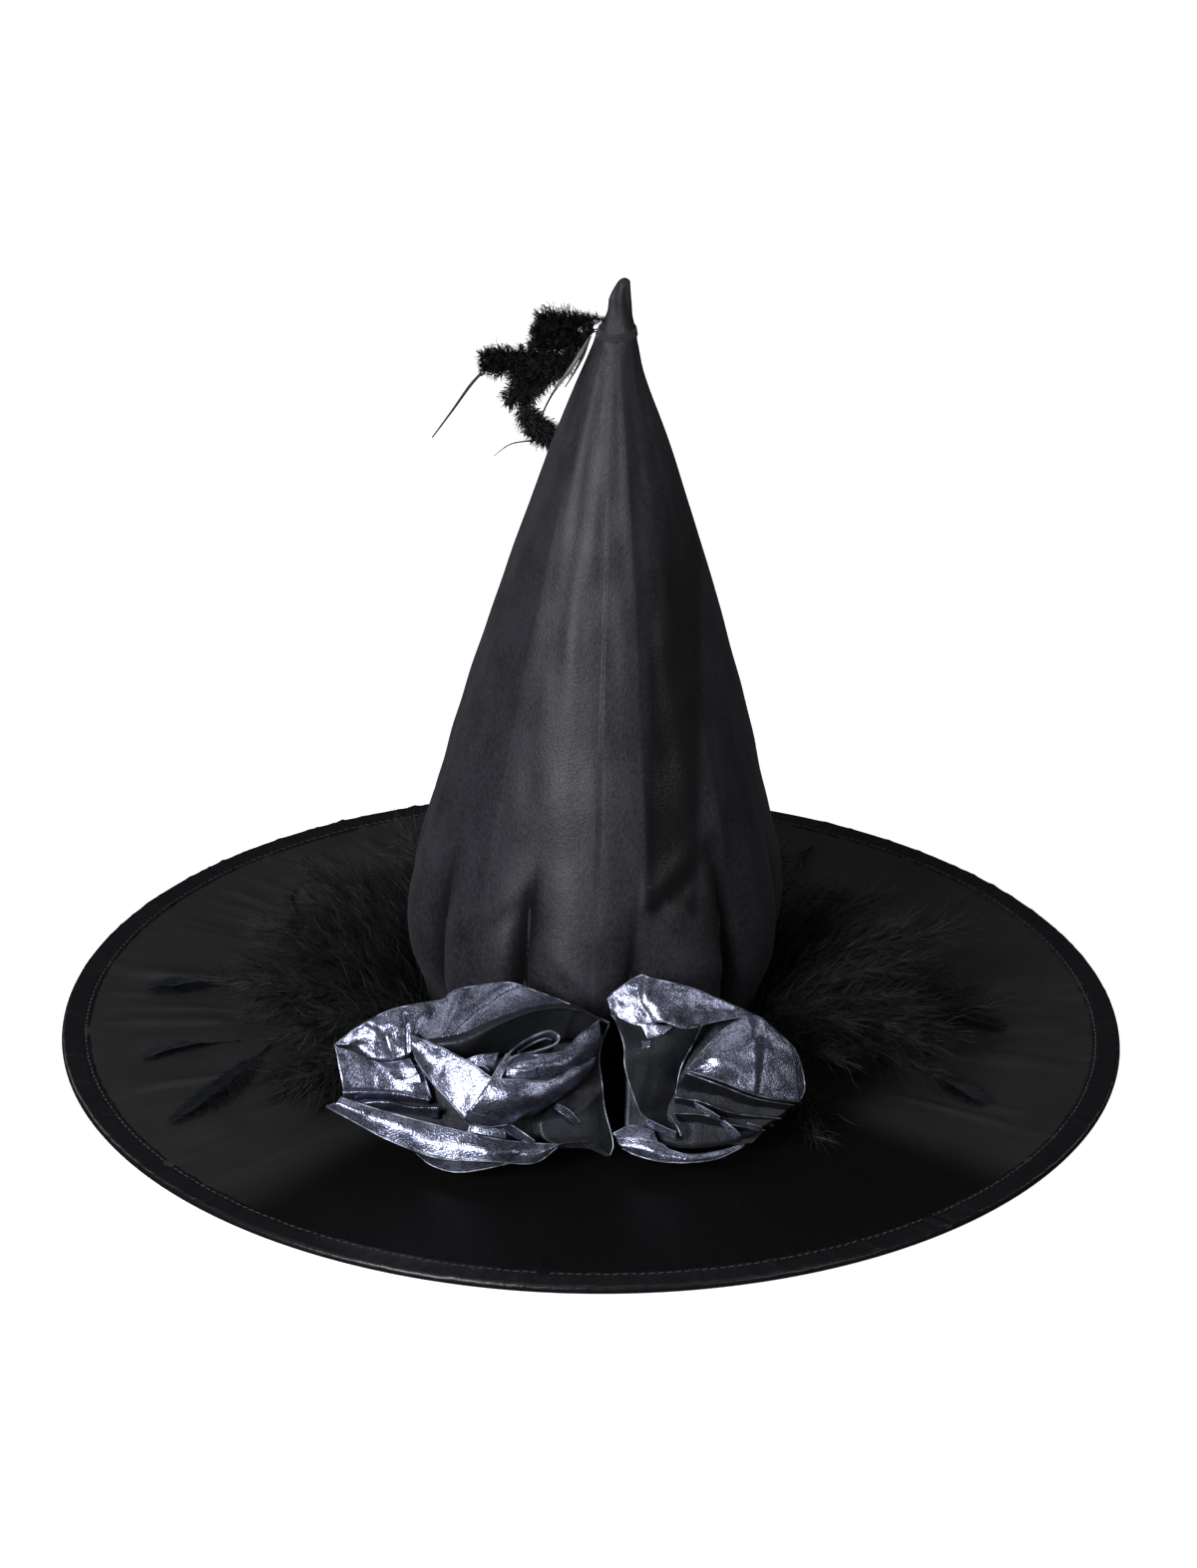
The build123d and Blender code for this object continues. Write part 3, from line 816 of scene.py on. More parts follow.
lining_cloth = finish(
    "cone_lining_cloth",
    lambda start, where, uv: start.noise(where, 3 * mm, 5).mix((0.012, 0.012, 0.013), (0.04, 0.04, 0.042)),
    0.8,
    lambda start, where, uv: weave(start, where, 0.7 * mm, 0.2),
    0.3,
    sheen_weight=0.2,
)
lining_low, lining_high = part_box("crown_interlining")
lining_z = np.linspace(lining_low[2], lining_high[2] - 6 * mm, 84)
lining_grid = cone_points(0.75 * mm, lining_z, np.linspace(0, 360, 180, endpoint=False))
lining_tip = [cone_at(lining_high[2])[0], 0, lining_z[-1] + 0.6 * mm]
lining_points, lining_faces = closed_top(lining_grid, lining_tip)
lining = piece("cone_lining", lining_points, lining_faces, lining_cloth)
solidify(lining, 0.8 * mm)
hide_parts("crown_interlining")
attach(lining, "hat")

seam_low, seam_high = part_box("crown_seam_thread")
seam_z = np.linspace(seam_low[2], seam_high[2], 120)
seam_line = cone_points(-0.15 * mm, seam_z, np.array([180.0]))[:, 0]
seam = grow(
    "cone_seam_row",
    path_object([seam_line]),
    stitch_tree,
    {"Pitch": 4.0 * mm, "Length": 3.0 * mm, "Thickness": 0.6 * mm, "Slant": 0.1, "Material": thread},
)
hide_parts("crown_seam_thread")
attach(seam, "hat")

# ---------------------------------------------------------------- head opening
# A soft ribbed band inside the head opening, sewn round with the cone's seam allowance. Its
# shape and its stitches are the CAD part's own, and only their finish is given here.
def webbing_bump(start, where, uv):
    bands = {"Vector": where, "Scale": 260.0, "Distortion": 0.6}
    ribs = start.node("ShaderNodeTexWave", {"bands_direction": "Z"}, bands)
    return ribs * 0.35 + start.noise(where, 0.6 * mm, 3) * 0.2


webbing = finish(
    "ribbed_webbing",
    lambda start, where, uv: start.noise(where, 4 * mm, 4).mix((0.010, 0.010, 0.011), (0.03, 0.03, 0.032)),
    0.7,
    webbing_bump,
    0.3,
    sheen_weight=0.25,
)
use("sweatband", webbing)
use("sweatband_stitches", thread)

# ---------------------------------------------------------------- boa
# Black marabou: downy plumes tied side by side to a string, which is wound round the foot
# of the cone and stops behind the roses.
down = finish(
    "black_down",
    lambda start, where, uv: start.noise(where, 0.012, 4).mix((0.005, 0.005, 0.005), (0.027, 0.027, 0.028)),
    0.62,
    None,
    0.35,
)
start, given = geometry_tree(
    "downy_barbs",
    {
        "Spacing": 0.0005,
        "Width": 0.02,
        "Curl": 0.4,
        "Lean Low": 0.2,
        "Lean High": 1.1,
        "Roll": 3.14,
        "Sides": 0,
        "Shortest": 0.5,
        "Longest": 1.0,
        "Tousle": 0.002,
        "Tousle Size": 0.01,
        "Seed": 1,
        "Material": down,
    },
)
line = start.node("GeometryNodeMeshToCurve", None, {0: given["Geometry"]})
line = start.node("GeometryNodeSetCurveNormal", {"mode": "Z_UP"}, {0: line})
every = {"Curve": line, "Length": given["Spacing"]}
spots = start.node("GeometryNodeCurveToPoints", {"mode": "LENGTH"}, every)
frame_turn = Value(start.tree, spots.socket.node.outputs["Rotation"])


def chance(low, high, extra):
    """A random number for each barb."""
    return start.node(
        "FunctionNodeRandomValue",
        {"data_type": "FLOAT"},
        {2: low, 3: high, "Seed": given["Seed"] + extra},
        out=1,
    )


order = start.node("GeometryNodeInputIndex")
other_side = order.maths("MODULO", order, 2.0) * pi * given["Sides"]
roll = chance(-given["Roll"], given["Roll"], 1) + other_side
tip_lean = chance(given["Lean Low"], given["Lean High"], 2)
twist = chance(-0.5, 0.5, 3) * given["Roll"].at_most(1.0)
barb_turn = start.node("ShaderNodeCombineXYZ", None, {0: twist, 1: -tip_lean, 2: roll})
barb_turn = start.node("FunctionNodeEulerToRotation", None, {0: barb_turn})
both_turns = {0: frame_turn, 1: barb_turn}
barb_turn = start.node("FunctionNodeRotateRotation", {"rotation_space": "LOCAL"}, both_turns)
reach = start.node("GeometryNodeInputNamedAttribute", {"data_type": "FLOAT"}, {"Name": "reach"})
reach = reach * chance(given["Shortest"], given["Longest"], 4)
strip = start.node(
    "GeometryNodeMeshGrid", None, {"Size X": 1.0, "Size Y": 1.0, "Vertices X": 7, "Vertices Y": 2}
)
spot = start.node("GeometryNodeInputPosition")
spot_parts = start.node("ShaderNodeSeparateXYZ", None, {0: spot})
run_out = spot_parts + 0.5
side_out = Value(start.tree, spot_parts.socket.node.outputs[1])
narrow = (1.02 - run_out) ** 0.6 * given["Width"] * side_out
bent = run_out * run_out * given["Curl"]
shaped = start.node("ShaderNodeCombineXYZ", None, {0: run_out, 1: narrow, 2: bent})
strip = start.node("GeometryNodeSetPosition", None, {"Geometry": strip, "Position": shaped})
barbs = start.node(
    "GeometryNodeInstanceOnPoints",
    None,
    {"Points": spots, "Instance": strip, "Rotation": barb_turn, "Scale": reach},
)
barbs = start.node("GeometryNodeRealizeInstances", None, {0: barbs})
near = start.node("GeometryNodeInputPosition")
tousle = start.node(
    "ShaderNodeTexNoise", None, {"Vector": near, "Scale": 1.0 / given["Tousle Size"], "Detail": 3.0}, out=1
)
tousle = start.node("ShaderNodeVectorMath", {"operation": "SUBTRACT"}, {0: tousle, 1: (0.5, 0.5, 0.5)})
tousle = start.node("ShaderNodeVectorMath", {"operation": "SCALE"}, {0: tousle, "Scale": given["Tousle"]})
barbs = start.node("GeometryNodeSetPosition", None, {"Geometry": barbs, "Offset": tousle})
barbs = start.node("GeometryNodeSetMaterial", None, {0: barbs, "Material": given["Material"]})
start.node("NodeGroupOutput", None, {0: barbs})
barb_tree = start.tree


def keep_clear(obj, lowest, gap=0.4 * mm, cone_too=True):
    """Moves the points of a fluffy piece up off the brim and out of the cone."""
    count = len(obj.data.vertices)
    spots = np.empty(count * 3, dtype=np.float32)
    obj.data.vertices.foreach_get("co", spots)
    spots = spots.reshape(-1, 3).astype(float)
    spots[:, 2] = np.where(spots[:, 2] < lowest, lowest + 0.15 * (lowest - spots[:, 2]), spots[:, 2])
    if cone_too:
        middle, half_x, half_y = cone_at(spots[:, 2])
        angle = np.degrees(np.arctan2((spots[:, 0] - middle) / half_x, -spots[:, 1] / half_y))
        out = cone_folds(angle, spots[:, 2]) + gap
        share = np.hypot((spots[:, 0] - middle) / (half_x + out), spots[:, 1] / (half_y + out))
        push = np.where(share < 1, 1 / np.maximum(share, 0.2), 1.0)
        spots[:, 0] = middle + (spots[:, 0] - middle) * push
        spots[:, 1] = spots[:, 1] * push
    obj.data.vertices.foreach_set("co", spots.astype(np.float32).ravel())
    obj.data.update()


def spline_path(anchors, count):
    """A smooth line through a few points."""
    anchors = np.array(anchors, dtype=float)
    ends = np.vstack([2 * anchors[0] - anchors[1], anchors, 2 * anchors[-1] - anchors[-2]])
    line = []
    for t in np.linspace(0, len(anchors) - 1 - 1e-6, count):
        i, f = int(t), t - int(t)
        a, b, c, d = ends[i : i + 4]
        bend = (2 * a - 5 * b + 4 * c - d) * f**2
        line.append(0.5 * (2 * b + (c - a) * f + bend + (3 * b - a - 3 * c + d) * f**3))
    return np.array(line)


core_low, core_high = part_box("boa_core")
core_radius = 1.5 * mm
core_x = (core_high[0] - core_low[0]) / 2 - core_radius
core_y = (core_high[1] - core_low[1]) / 2 - core_radius
core_middle, core_z = (core_high[0] + core_low[0]) / 2, (core_high[2] + core_low[2]) / 2


def boa_shafts(first, last, count, seed):
    """Plume shafts that fan out from the string between two angles, and their barbs' lengths."""
    rng = np.random.default_rng(seed)
    paths, reaches = [], []
    for i in range(count):
        at = radians(first + (last - first) * (i + rng.uniform(0, 1)) / count)
        root = np.array([core_middle + core_x * cos(at), core_y * sin(at), core_z])
        swing = at + rng.uniform(-0.5, 0.5)
        rise = rng.uniform(-0.30, 0.62) * (1 - 0.75 * max(sin(at), 0))
        length = rng.uniform(62, 104) * mm * (1.0 - 0.35 * max(rise, 0)) * (1 - 0.28 * max(sin(at), 0))
        out = np.array([cos(swing), sin(swing), 0])
        aside = np.array([-sin(swing), cos(swing), 0]) * rng.uniform(-0.25, 0.25)
        sag = rng.uniform(0.15, 0.5)
        t = np.linspace(0, 1, 9)[:, None]
        droop = t**2 * np.array([0, 0, sag * 0.6])
        line = root + length * (t * (out + aside * t) + t * np.array([0, 0, rise]) - droop)
        line[:, 2] = np.maximum(line[:, 2], brim_top + 3 * mm)
        paths.append(line)
        reaches.append((0.022 * (1 - 0.40 * t[:, 0] ** 2) + 0.003) * rng.uniform(0.8, 1.2))
    return paths, reaches


string_finish = finish(
    "black_string",
    (0.008, 0.008, 0.009),
    0.8,
    lambda start, where, uv: start.noise(where, 0.8 * mm, 4) * 0.5,
    0.3,
)
use("boa_core", string_finish)
# Each piece: its node, its first and last angle round the string, its shafts and its seed.
boa_parts = {
    "boa_down_right_front": ("boa_plumes_right", -33, 6, 27, 31),
    "boa_down_right_side": ("boa_plumes_right", 6, 46, 27, 32),
    "boa_down_back_left": ("boa_plumes_back", 90, 134, 27, 33),
    "boa_down_back_right": ("boa_plumes_back", 46, 90, 27, 34),
    "boa_down_left_side": ("boa_plumes_left", 134, 174, 27, 35),
    "boa_down_left_front": ("boa_plumes_left", 174, 213, 27, 36),
}
barbs_each = 12700
for name, (node, first, last, count, seed) in boa_parts.items():
    paths, reaches = boa_shafts(first, last, count, seed)
    length = sum(np.linalg.norm(np.diff(p, axis=0), axis=1).sum() for p in paths)
    settings = {
        "Spacing": length / barbs_each,
        "Width": 0.020,
        "Curl": 0.35,
        "Lean Low": 0.1,
        "Lean High": 1.25,
        "Roll": pi,
        "Sides": 0,
        "Shortest": 0.45,
        "Longest": 1.25,
        "Tousle": 6 * mm,
        "Tousle Size": 9 * mm,
        "Seed": seed,
        "Material": down,
    }
    fluff = grow(name, path_object(paths, reaches), barb_tree, settings)
    keep_clear(fluff, brim_top + 1.2 * mm)
    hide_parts(node)
    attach(fluff, "hat")

# ---------------------------------------------------------------- flat feathers
# Stiff cock feathers with a dark green and blue gloss, tucked under the boa so that their
# pointed ends lie on the brim.
cock = finish(
    "glossy_cock_feather",
    lambda start, where, uv: start.noise(where, 0.010, 3).mix((0.006, 0.007, 0.008), (0.026, 0.029, 0.035)),
    0.5,
    None,
    0.3,
)
shaft_finish = finish(
    "dark_quill",
    lambda start, where, uv: start.noise(where, 5 * mm, 2).mix((0.006, 0.006, 0.006), (0.03, 0.028, 0.026)),
    0.4,
    None,
)


def tube(line, widths, sides=8):
    """Points and faces of a round rod that follows a line, with its own width at each point."""
    line = np.array(line)
    ahead = np.gradient(line, axis=0)
    ahead /= np.linalg.norm(ahead, axis=1)[:, None]
    level = np.array([0.0, 0.0, 1.0]) if abs(ahead[0][2]) < 0.9 else np.array([1.0, 0.0, 0.0])
    first = np.cross(ahead, level)
    first /= np.linalg.norm(first, axis=1)[:, None]
    second = np.cross(first, ahead)
    ring = np.linspace(0, 2 * pi, sides, endpoint=False)
    half = np.array(widths)[:, None, None] / 2
    spokes = first[:, None] * np.cos(ring)[:, None] + second[:, None] * np.sin(ring)[:, None]
    rings = line[:, None] + half * spokes
    points = np.vstack([rings.reshape(-1, 3), line[0], line[-1]])
    count = len(line)
    faces = [tuple(f) for f in grid_faces(count, sides, around=True)]
    faces += [(i, count * sides, (i + 1) % sides) for i in range(sides)]
    last = (count - 1) * sides
    faces += [(last + (i + 1) % sides, count * sides + 1, last + i) for i in range(sides)]
    return points, faces


def joined(name, objects):
    """Several meshes as one object, each with its own finish."""
    mesh = bpy.data.meshes.new(name)
    points, faces, finishes, chosen = [], [], [], []
    for obj in objects:
        if obj.data.materials[0] not in finishes:
            finishes.append(obj.data.materials[0])
        first = len(points)
        points += [tuple(v.co) for v in obj.data.vertices]
        faces += [tuple(first + i for i in p.vertices) for p in obj.data.polygons]
        chosen += [finishes.index(obj.data.materials[0])] * len(obj.data.polygons)
        bpy.data.objects.remove(obj)
    mesh.from_pydata(points, [], faces)
    for material in finishes:
        mesh.materials.append(material)
    mesh.polygons.foreach_set("material_index", chosen)
    mesh.polygons.foreach_set("use_smooth", [True] * len(faces))
    made = bpy.data.objects.new(name, mesh)
    bpy.context.scene.collection.objects.link(made)
    return made


def feather_reach(count, half_width, bare):
    """The length of a feather's barbs from its root to its tip."""
    t = np.linspace(0, 1, count)
    body = np.clip((t - bare) / (1 - bare), 0, 1)
    outline = np.clip(np.sin(pi * np.clip(body, 0, 1) ** 0.8), 0, 1) ** 0.6
    return half_width * outline * (body > 0) + 0.2 * mm


# Each feather: its node, how far it curls to its own left, the vane's half-width in
# millimetres, and its seed.
flat_feathers = [
    ("cock_feather_left_front", 0.10, 10.5, 41),
    ("cock_feather_left_split", -0.10, 8.5, 42),
    ("cock_feather_left_back", 0.08, 11.5, 43),
    ("cock_feather_left_curl", 0.22, 4.6, 44),
    ("cock_feather_right_front", -0.10, 10.5, 45),
    ("cock_feather_right_side", 0.12, 10.5, 46),
    ("cock_feather_right_back", -0.10, 4.6, 47),
    ("cock_feather_right_curl", 0.14, 4.6, 48),
]
for node, curl, half_width, seed in flat_feathers:
    own = np.array([v.co[:] for v in nodes[node].data.vertices])
    centre = own.mean(axis=0)
    axis = np.linalg.svd(own[:, :2] - centre[:2], full_matrices=False)[2][0]
    reach_along = (own[:, :2] - centre[:2]) @ axis
    ends = [centre[:2] + axis * reach_along.min(), centre[:2] + axis * reach_along.max()]
    ends.sort(key=lambda p: np.hypot(*p))
    root, tip = ends
    aside = np.array([-(tip - root)[1], (tip - root)[0]])
    rest = brim_top + 1.5 * mm
    anchors = [
        (*root, rest),
        (*(root + (tip - root) * 0.35 + aside * curl * 0.35), rest + 1.3 * mm),
        (*(root + (tip - root) * 0.7 + aside * curl * 0.45), rest + 1.2 * mm),
        (*tip, rest),
    ]
    line = spline_path(anchors, 40)
    settings = {
        "Spacing": 0.22 * mm,
        "Width": 0.055,
        "Curl": 0.10,
        "Lean Low": 0.70,
        "Lean High": 0.92,
        "Roll": 0.09,
        "Sides": 1,
        "Shortest": 0.86,
        "Longest": 1.08,
        "Tousle": 2.2 * mm,
        "Tousle Size": 7 * mm,
        "Seed": seed,
        "Material": cock,
    }
    reach_line = feather_reach(len(line), half_width * 1.25 * mm, 0.12)
    vane = grow(node + "_vane", path_object([line], [reach_line]), barb_tree, settings)
    keep_clear(vane, brim_top + 1.15 * mm, cone_too=False)
    rod_points, rod_faces = tube(line, np.linspace(1.1, 0.25, len(line)) * mm)
    rod_piece = piece(node + "_rod", rod_points, rod_faces, shaft_finish)
    feather = joined(node + "_plume", [vane, rod_piece])
    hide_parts(node)
    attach(feather, "hat")

# ---------------------------------------------------------------- roses
# Two roses of folded blue-grey satin ribbon, the larger one on the wearer's right. Each is a
# round of loose outer folds, a tighter inner round and a rolled heart, sewn to a felt disc.
def ribbon_colour(start, where, uv):
    mottle = start.noise(where, 0.012, 3)
    speck = start.noise(where, 0.8 * mm, 1)
    cloth = (mottle * 0.5 + speck * 0.7).smooth(0.35, 0.85)
    return cloth.mix((0.06, 0.065, 0.094), (0.48, 0.505, 0.69))


def ribbon_bump(start, where, uv):
    sparkle = start.noise(where, 0.75 * mm, 2)
    drag = start.noise(where, 5 * mm, 3, (1, 1, 0.5))
    return sparkle * 0.19 + drag * 0.24


ribbon = finish(
    "blue_grey_satin",
    ribbon_colour,
    lambda start, where, uv: start.noise(where, 6 * mm, 3) * 0.12 + 0.19,
    ribbon_bump,
    0.6,
    metallic=0.86,
)
# A darker copy of the satin, put on folds that lie in shadow as painted shade.
ribbon_painted_shade = finish(
    "satin_painted_shade",
    lambda start, where, uv: start.noise(where, 0.01, 3).mix((0.014, 0.0145, 0.018), (0.055, 0.057, 0.07)),
    0.40,
    ribbon_bump,
    0.5,
    metallic=0.55,
)


# The rolled edges are lighter than the satin, a painted highlight that is stronger in random places.
def edge_highlight_colour(start, where, uv):
    painted_light_mask = start.noise(where, 7 * mm, 2).smooth(0.3, 0.7)
    return painted_light_mask.mix((0.07, 0.072, 0.09), (0.55, 0.57, 0.68))


ribbon_edge_highlight = finish(
    "ribbon_edge_painted_highlight",
    edge_highlight_colour,
    0.38,
    None,
    0.6,
    metallic=0.8,
)
rose_up = np.array([0.0, 0.466, 0.885])  # a rose faces forward and a little upward
rose_out = np.array([0.0, -0.885, 0.466])


def fold(rows, ridges=(), seed=1, crumple=0.35, steps=(22, 40), bead=0.6, both=False, painted_shade=False):
    """A fold of ribbon over a few rows of points: across, up and out from the rose's middle. A fold in shadow
    takes a darker copy of the satin as painted shade.
    """
    lines = [spline_path(row, steps[1]) for row in rows]
    grid = np.array([spline_path(column, steps[0]) for column in zip(*lines)]).transpose(1, 0, 2)
    t = np.linspace(0, 1, steps[0])[:, None]
    s = np.linspace(0, 1, steps[1])[None, :]
    raised = np.zeros(grid.shape[:2])
    for at, width, tall, drift in ridges:
        raised += tall * np.exp(-np.abs(s - at - drift * t) / width)
    raised += crumple * waves(grid[..., 0], grid[..., 1], 13, seed)
    raised += 0.35 * crumple * waves(grid[..., 0], grid[..., 1], 5, seed + 40)
    grid[..., 2] += raised
    return {"grid": grid, "bead": bead, "both": both, "finish": ribbon_painted_shade if painted_shade else ribbon}


def ribbon_piece(name, folds, middle):
    """All the folds of one part of a rose as one mesh, each with its doubled edge."""
    made = []
    for number, given in enumerate(folds):
        grid = given["grid"] * mm
        sideways = middle + grid[..., :1] * np.array([1.0, 0, 0])
        spots = sideways + grid[..., 1:2] * rose_up + grid[..., 2:] * rose_out
        spots[..., 2] = np.maximum(spots[..., 2], brim_top + 0.9 * mm)
        rows, columns = spots.shape[:2]
        ahead = np.cross(spots[0, -1] - spots[0, 0], spots[-1, columns // 2] - spots[0, columns // 2])
        flip = float(ahead @ rose_out) < 0
        faces = grid_faces(rows, columns, flip=flip)
        sheet = piece(f"{name}_{number}", spots.reshape(-1, 3), faces, given["finish"])
        solidify(sheet, 0.5 * mm)
        bpy.context.view_layer.update()
        thick = bpy.data.meshes.new_from_object(sheet.evaluated_get(bpy.context.evaluated_depsgraph_get()))
        sheet.modifiers.clear()
        sheet.data = thick
        made.append(sheet)
        edges = [spots[0]] + ([spots[-1]] if given["both"] else [])
        for edge in edges:
            if given["bead"]:
                widths = np.full(len(edge), given["bead"] * mm)
                # Each bead along a free edge carries the painted highlight of the rim.
                bead_points, bead_faces = tube(edge, widths, 6)
                made.append(piece(f"{name}_edge", bead_points, bead_faces, ribbon_edge_highlight))
    return joined(name, made)


# Every fold: its rows of points from edge to edge, in millimetres across, up and out from the
# rose's middle, then its ridges as place, width, height and drift along the ribbon.
left_outer = [
    fold(
        [
            [(-58, 12, 1), (-30, 24, -2), (10, 32, -5), (40, 28, -2), (58, 20, 3)],
            [(-54, -6, 2), (-25, 0, 3), (10, 4, 3), (40, 0, 3), (57, -4, 3)],
            [(-56, -14, 6), (-25, -22, 8), (10, -28, 9), (38, -26, 7), (58, -28, 5)],
        ],
        bead=0, seed=2, painted_shade=True,
    ),
    fold(
        [
            [(-61, 13.7, 6), (-50.4, 22, 7.5), (-37.6, 28.9, 9), (-25.7, 32, 8), (-11, 34.4, 4)],
            [(-52, 13, 8), (-43, 18, 10), (-33, 21, 12.5), (-25, 24, 12), (-14, 28, 6)],
            [(-46, 8, 8), (-38, 7, 11), (-31, 8, 14), (-25, 12, 14), (-16, 18, 8)],
        ],
        [(0.33, 0.05, 1.6, 0.05), (0.62, 0.04, -1.4, 0.0)],
        seed=3, crumple=0.9,
    ),
    fold(
        [
            [(-61, 13.7, 6.5), (-50, 10, 4), (-41, 6, 3), (-31, 5, 5), (-22, 5, 10)],
            [(-57, -6, 8), (-48, -6, 5), (-38, -6.5, 4), (-28, -8, 5), (-17, -10, 9)],
        ],
        seed=4, bead=0,
    ),
    fold(
        [
            [(-61, 13.7, 7), (-58.7, 5.5, 7.5), (-57.4, 0, 8), (-56.8, -6, 9)],
            [(-58, 12, 5.5), (-55, 5, 5.5), (-54, 0, 6), (-53, -6, 7)],
        ],
        seed=5,
    ),
    fold(
        [
            [(-41.5, 5.8, 9.5), (-34, 6.4, 9), (-27, 8, 10)],
            [(-34, -1, 12), (-28, -1.8, 12), (-22.5, -0.5, 14)],
        ],
        seed=6, crumple=0.5,
    ),
    fold(
        [
            [(-30, -1.5, 12), (-26, 0, 13), (-23, 1, 14)],
            [(-30, -3.2, 12), (-26, -3, 13), (-22, -2.5, 14)],
        ],
        seed=7,
    ),
    fold(
        [
            [(-57, -5.5, 9), (-46, -5.8, 10), (-32, -6.2, 11), (-18, -9, 13)],
            [(-57, -7.5, 12), (-46, -7.3, 13), (-32, -8, 14), (-18, -10.5, 16)],
            [(-57, -10.5, 9), (-46, -10, 7), (-32, -11, 7), (-19, -12.5, 9)],
        ],
        seed=8, bead=0,
    ),
    fold(
        [
            [(-52, -11, 7), (-43, -10.2, 9), (-35, -10.6, 10), (-25, -13, 11), (-13, -13, 12)],
            [(-50, -13, 10), (-43, -11.8, 12), (-35, -12, 13), (-27, -13.8, 13), (-14, -14, 14)],
            [(-50, -15.5, 7), (-42, -15.5, 6), (-34, -16, 6), (-26, -17, 7), (-14, -19, 9)],
        ],
        seed=9, bead=0,
    ),
    fold(
        [
            [(-57.7, -9.6, 12), (-45.8, -13.3, 14), (-28.4, -18, 16), (-4.6, -23.6, 19),
             (13.7, -27.3, 20), (28.4, -28.7, 18), (39.4, -29.3, 15)],
            [(-60, -12, 13.5), (-47, -17, 15.5), (-31, -23, 17.5), (-9, -30, 20.5), (11, -32, 22.5),
             (28, -33.5, 20.5), (39.4, -29.7, 15.5)],
            [(-64.6, -13.7, 10), (-50.4, -21, 13), (-35.7, -28.4, 15.5), (-14, -35.8, 19),
             (9, -36.9, 22), (28.4, -37.6, 18), (39.4, -30.2, 14)],
        ],
        [(0.58, 0.035, 0.9, 0.1), (0.80, 0.03, -1.3, -0.06), (0.9, 0.02, 1.0, 0.0)],
        seed=10, both=True, steps=(26, 64),
    ),
    fold(
        [
            [(-31, -29.5, 14), (-17, -35, 17), (-8, -36.5, 19), (5, -36.5, 20), (18, -36.7, 19)],
            [(-24, -34, 11), (-17, -39.2, 14), (-6.4, -42.0, 17), (5, -40.8, 18), (19.2, -37.5, 18)],
        ],
        seed=11, both=True, crumple=0.25,
    ),
    fold(
        [
            [(61.2, 24, 9), (57, 11, 5), (58.4, -2, 3), (59.8, -13.7, 2), (63.7, -28.4, 2),
             (62.3, -34.4, 3)],
            [(58, 17, 10), (53, 4, 8), (50, -6, 7), (49, -16, 8), (52, -25, 9), (53, -28.6, 10)],
            [(55, 10, 12), (47, -4, 10), (38, -11, 10), (31, -18, 13), (32, -26, 15),
             (38.5, -29.3, 15)],
        ],
        [(0.45, 0.06, 1.2, 0.2)],
        seed=12, painted_shade=True,
    ),
    fold(
        [
            [(38.5, -29.3, 15), (46, -28.5, 12), (53, -28.3, 9.5), (62.3, -34.4, 4)],
            [(40, -31, 12), (46, -31, 9), (53, -31.5, 6), (61, -34.8, 3.5)],
        ],
        seed=13,
    ),
    fold(
        [
            [(0, -20.8, 21), (8, -22, 21.5), (16, -23.4, 21)],
            [(-1, -24, 21), (8, -25.4, 22), (16, -27, 22)],
        ],
        seed=14, crumple=0.4,
    ),
    fold(
        [
            [(15.6, -19.3, 17), (22, -23, 19), (29, -27.8, 19)],
            [(14, -22, 21), (20, -26, 22), (27, -29, 21)],
        ],
        seed=15, crumple=0.5,
    ),
    fold(
        [
            [(38.5, -10.5, 10), (44, -14, 12), (49, -19.5, 10)],
            [(37, -13, 13), (42, -16.5, 14), (47, -21, 12)],
        ],
        seed=16, crumple=0.4,
    ),
]
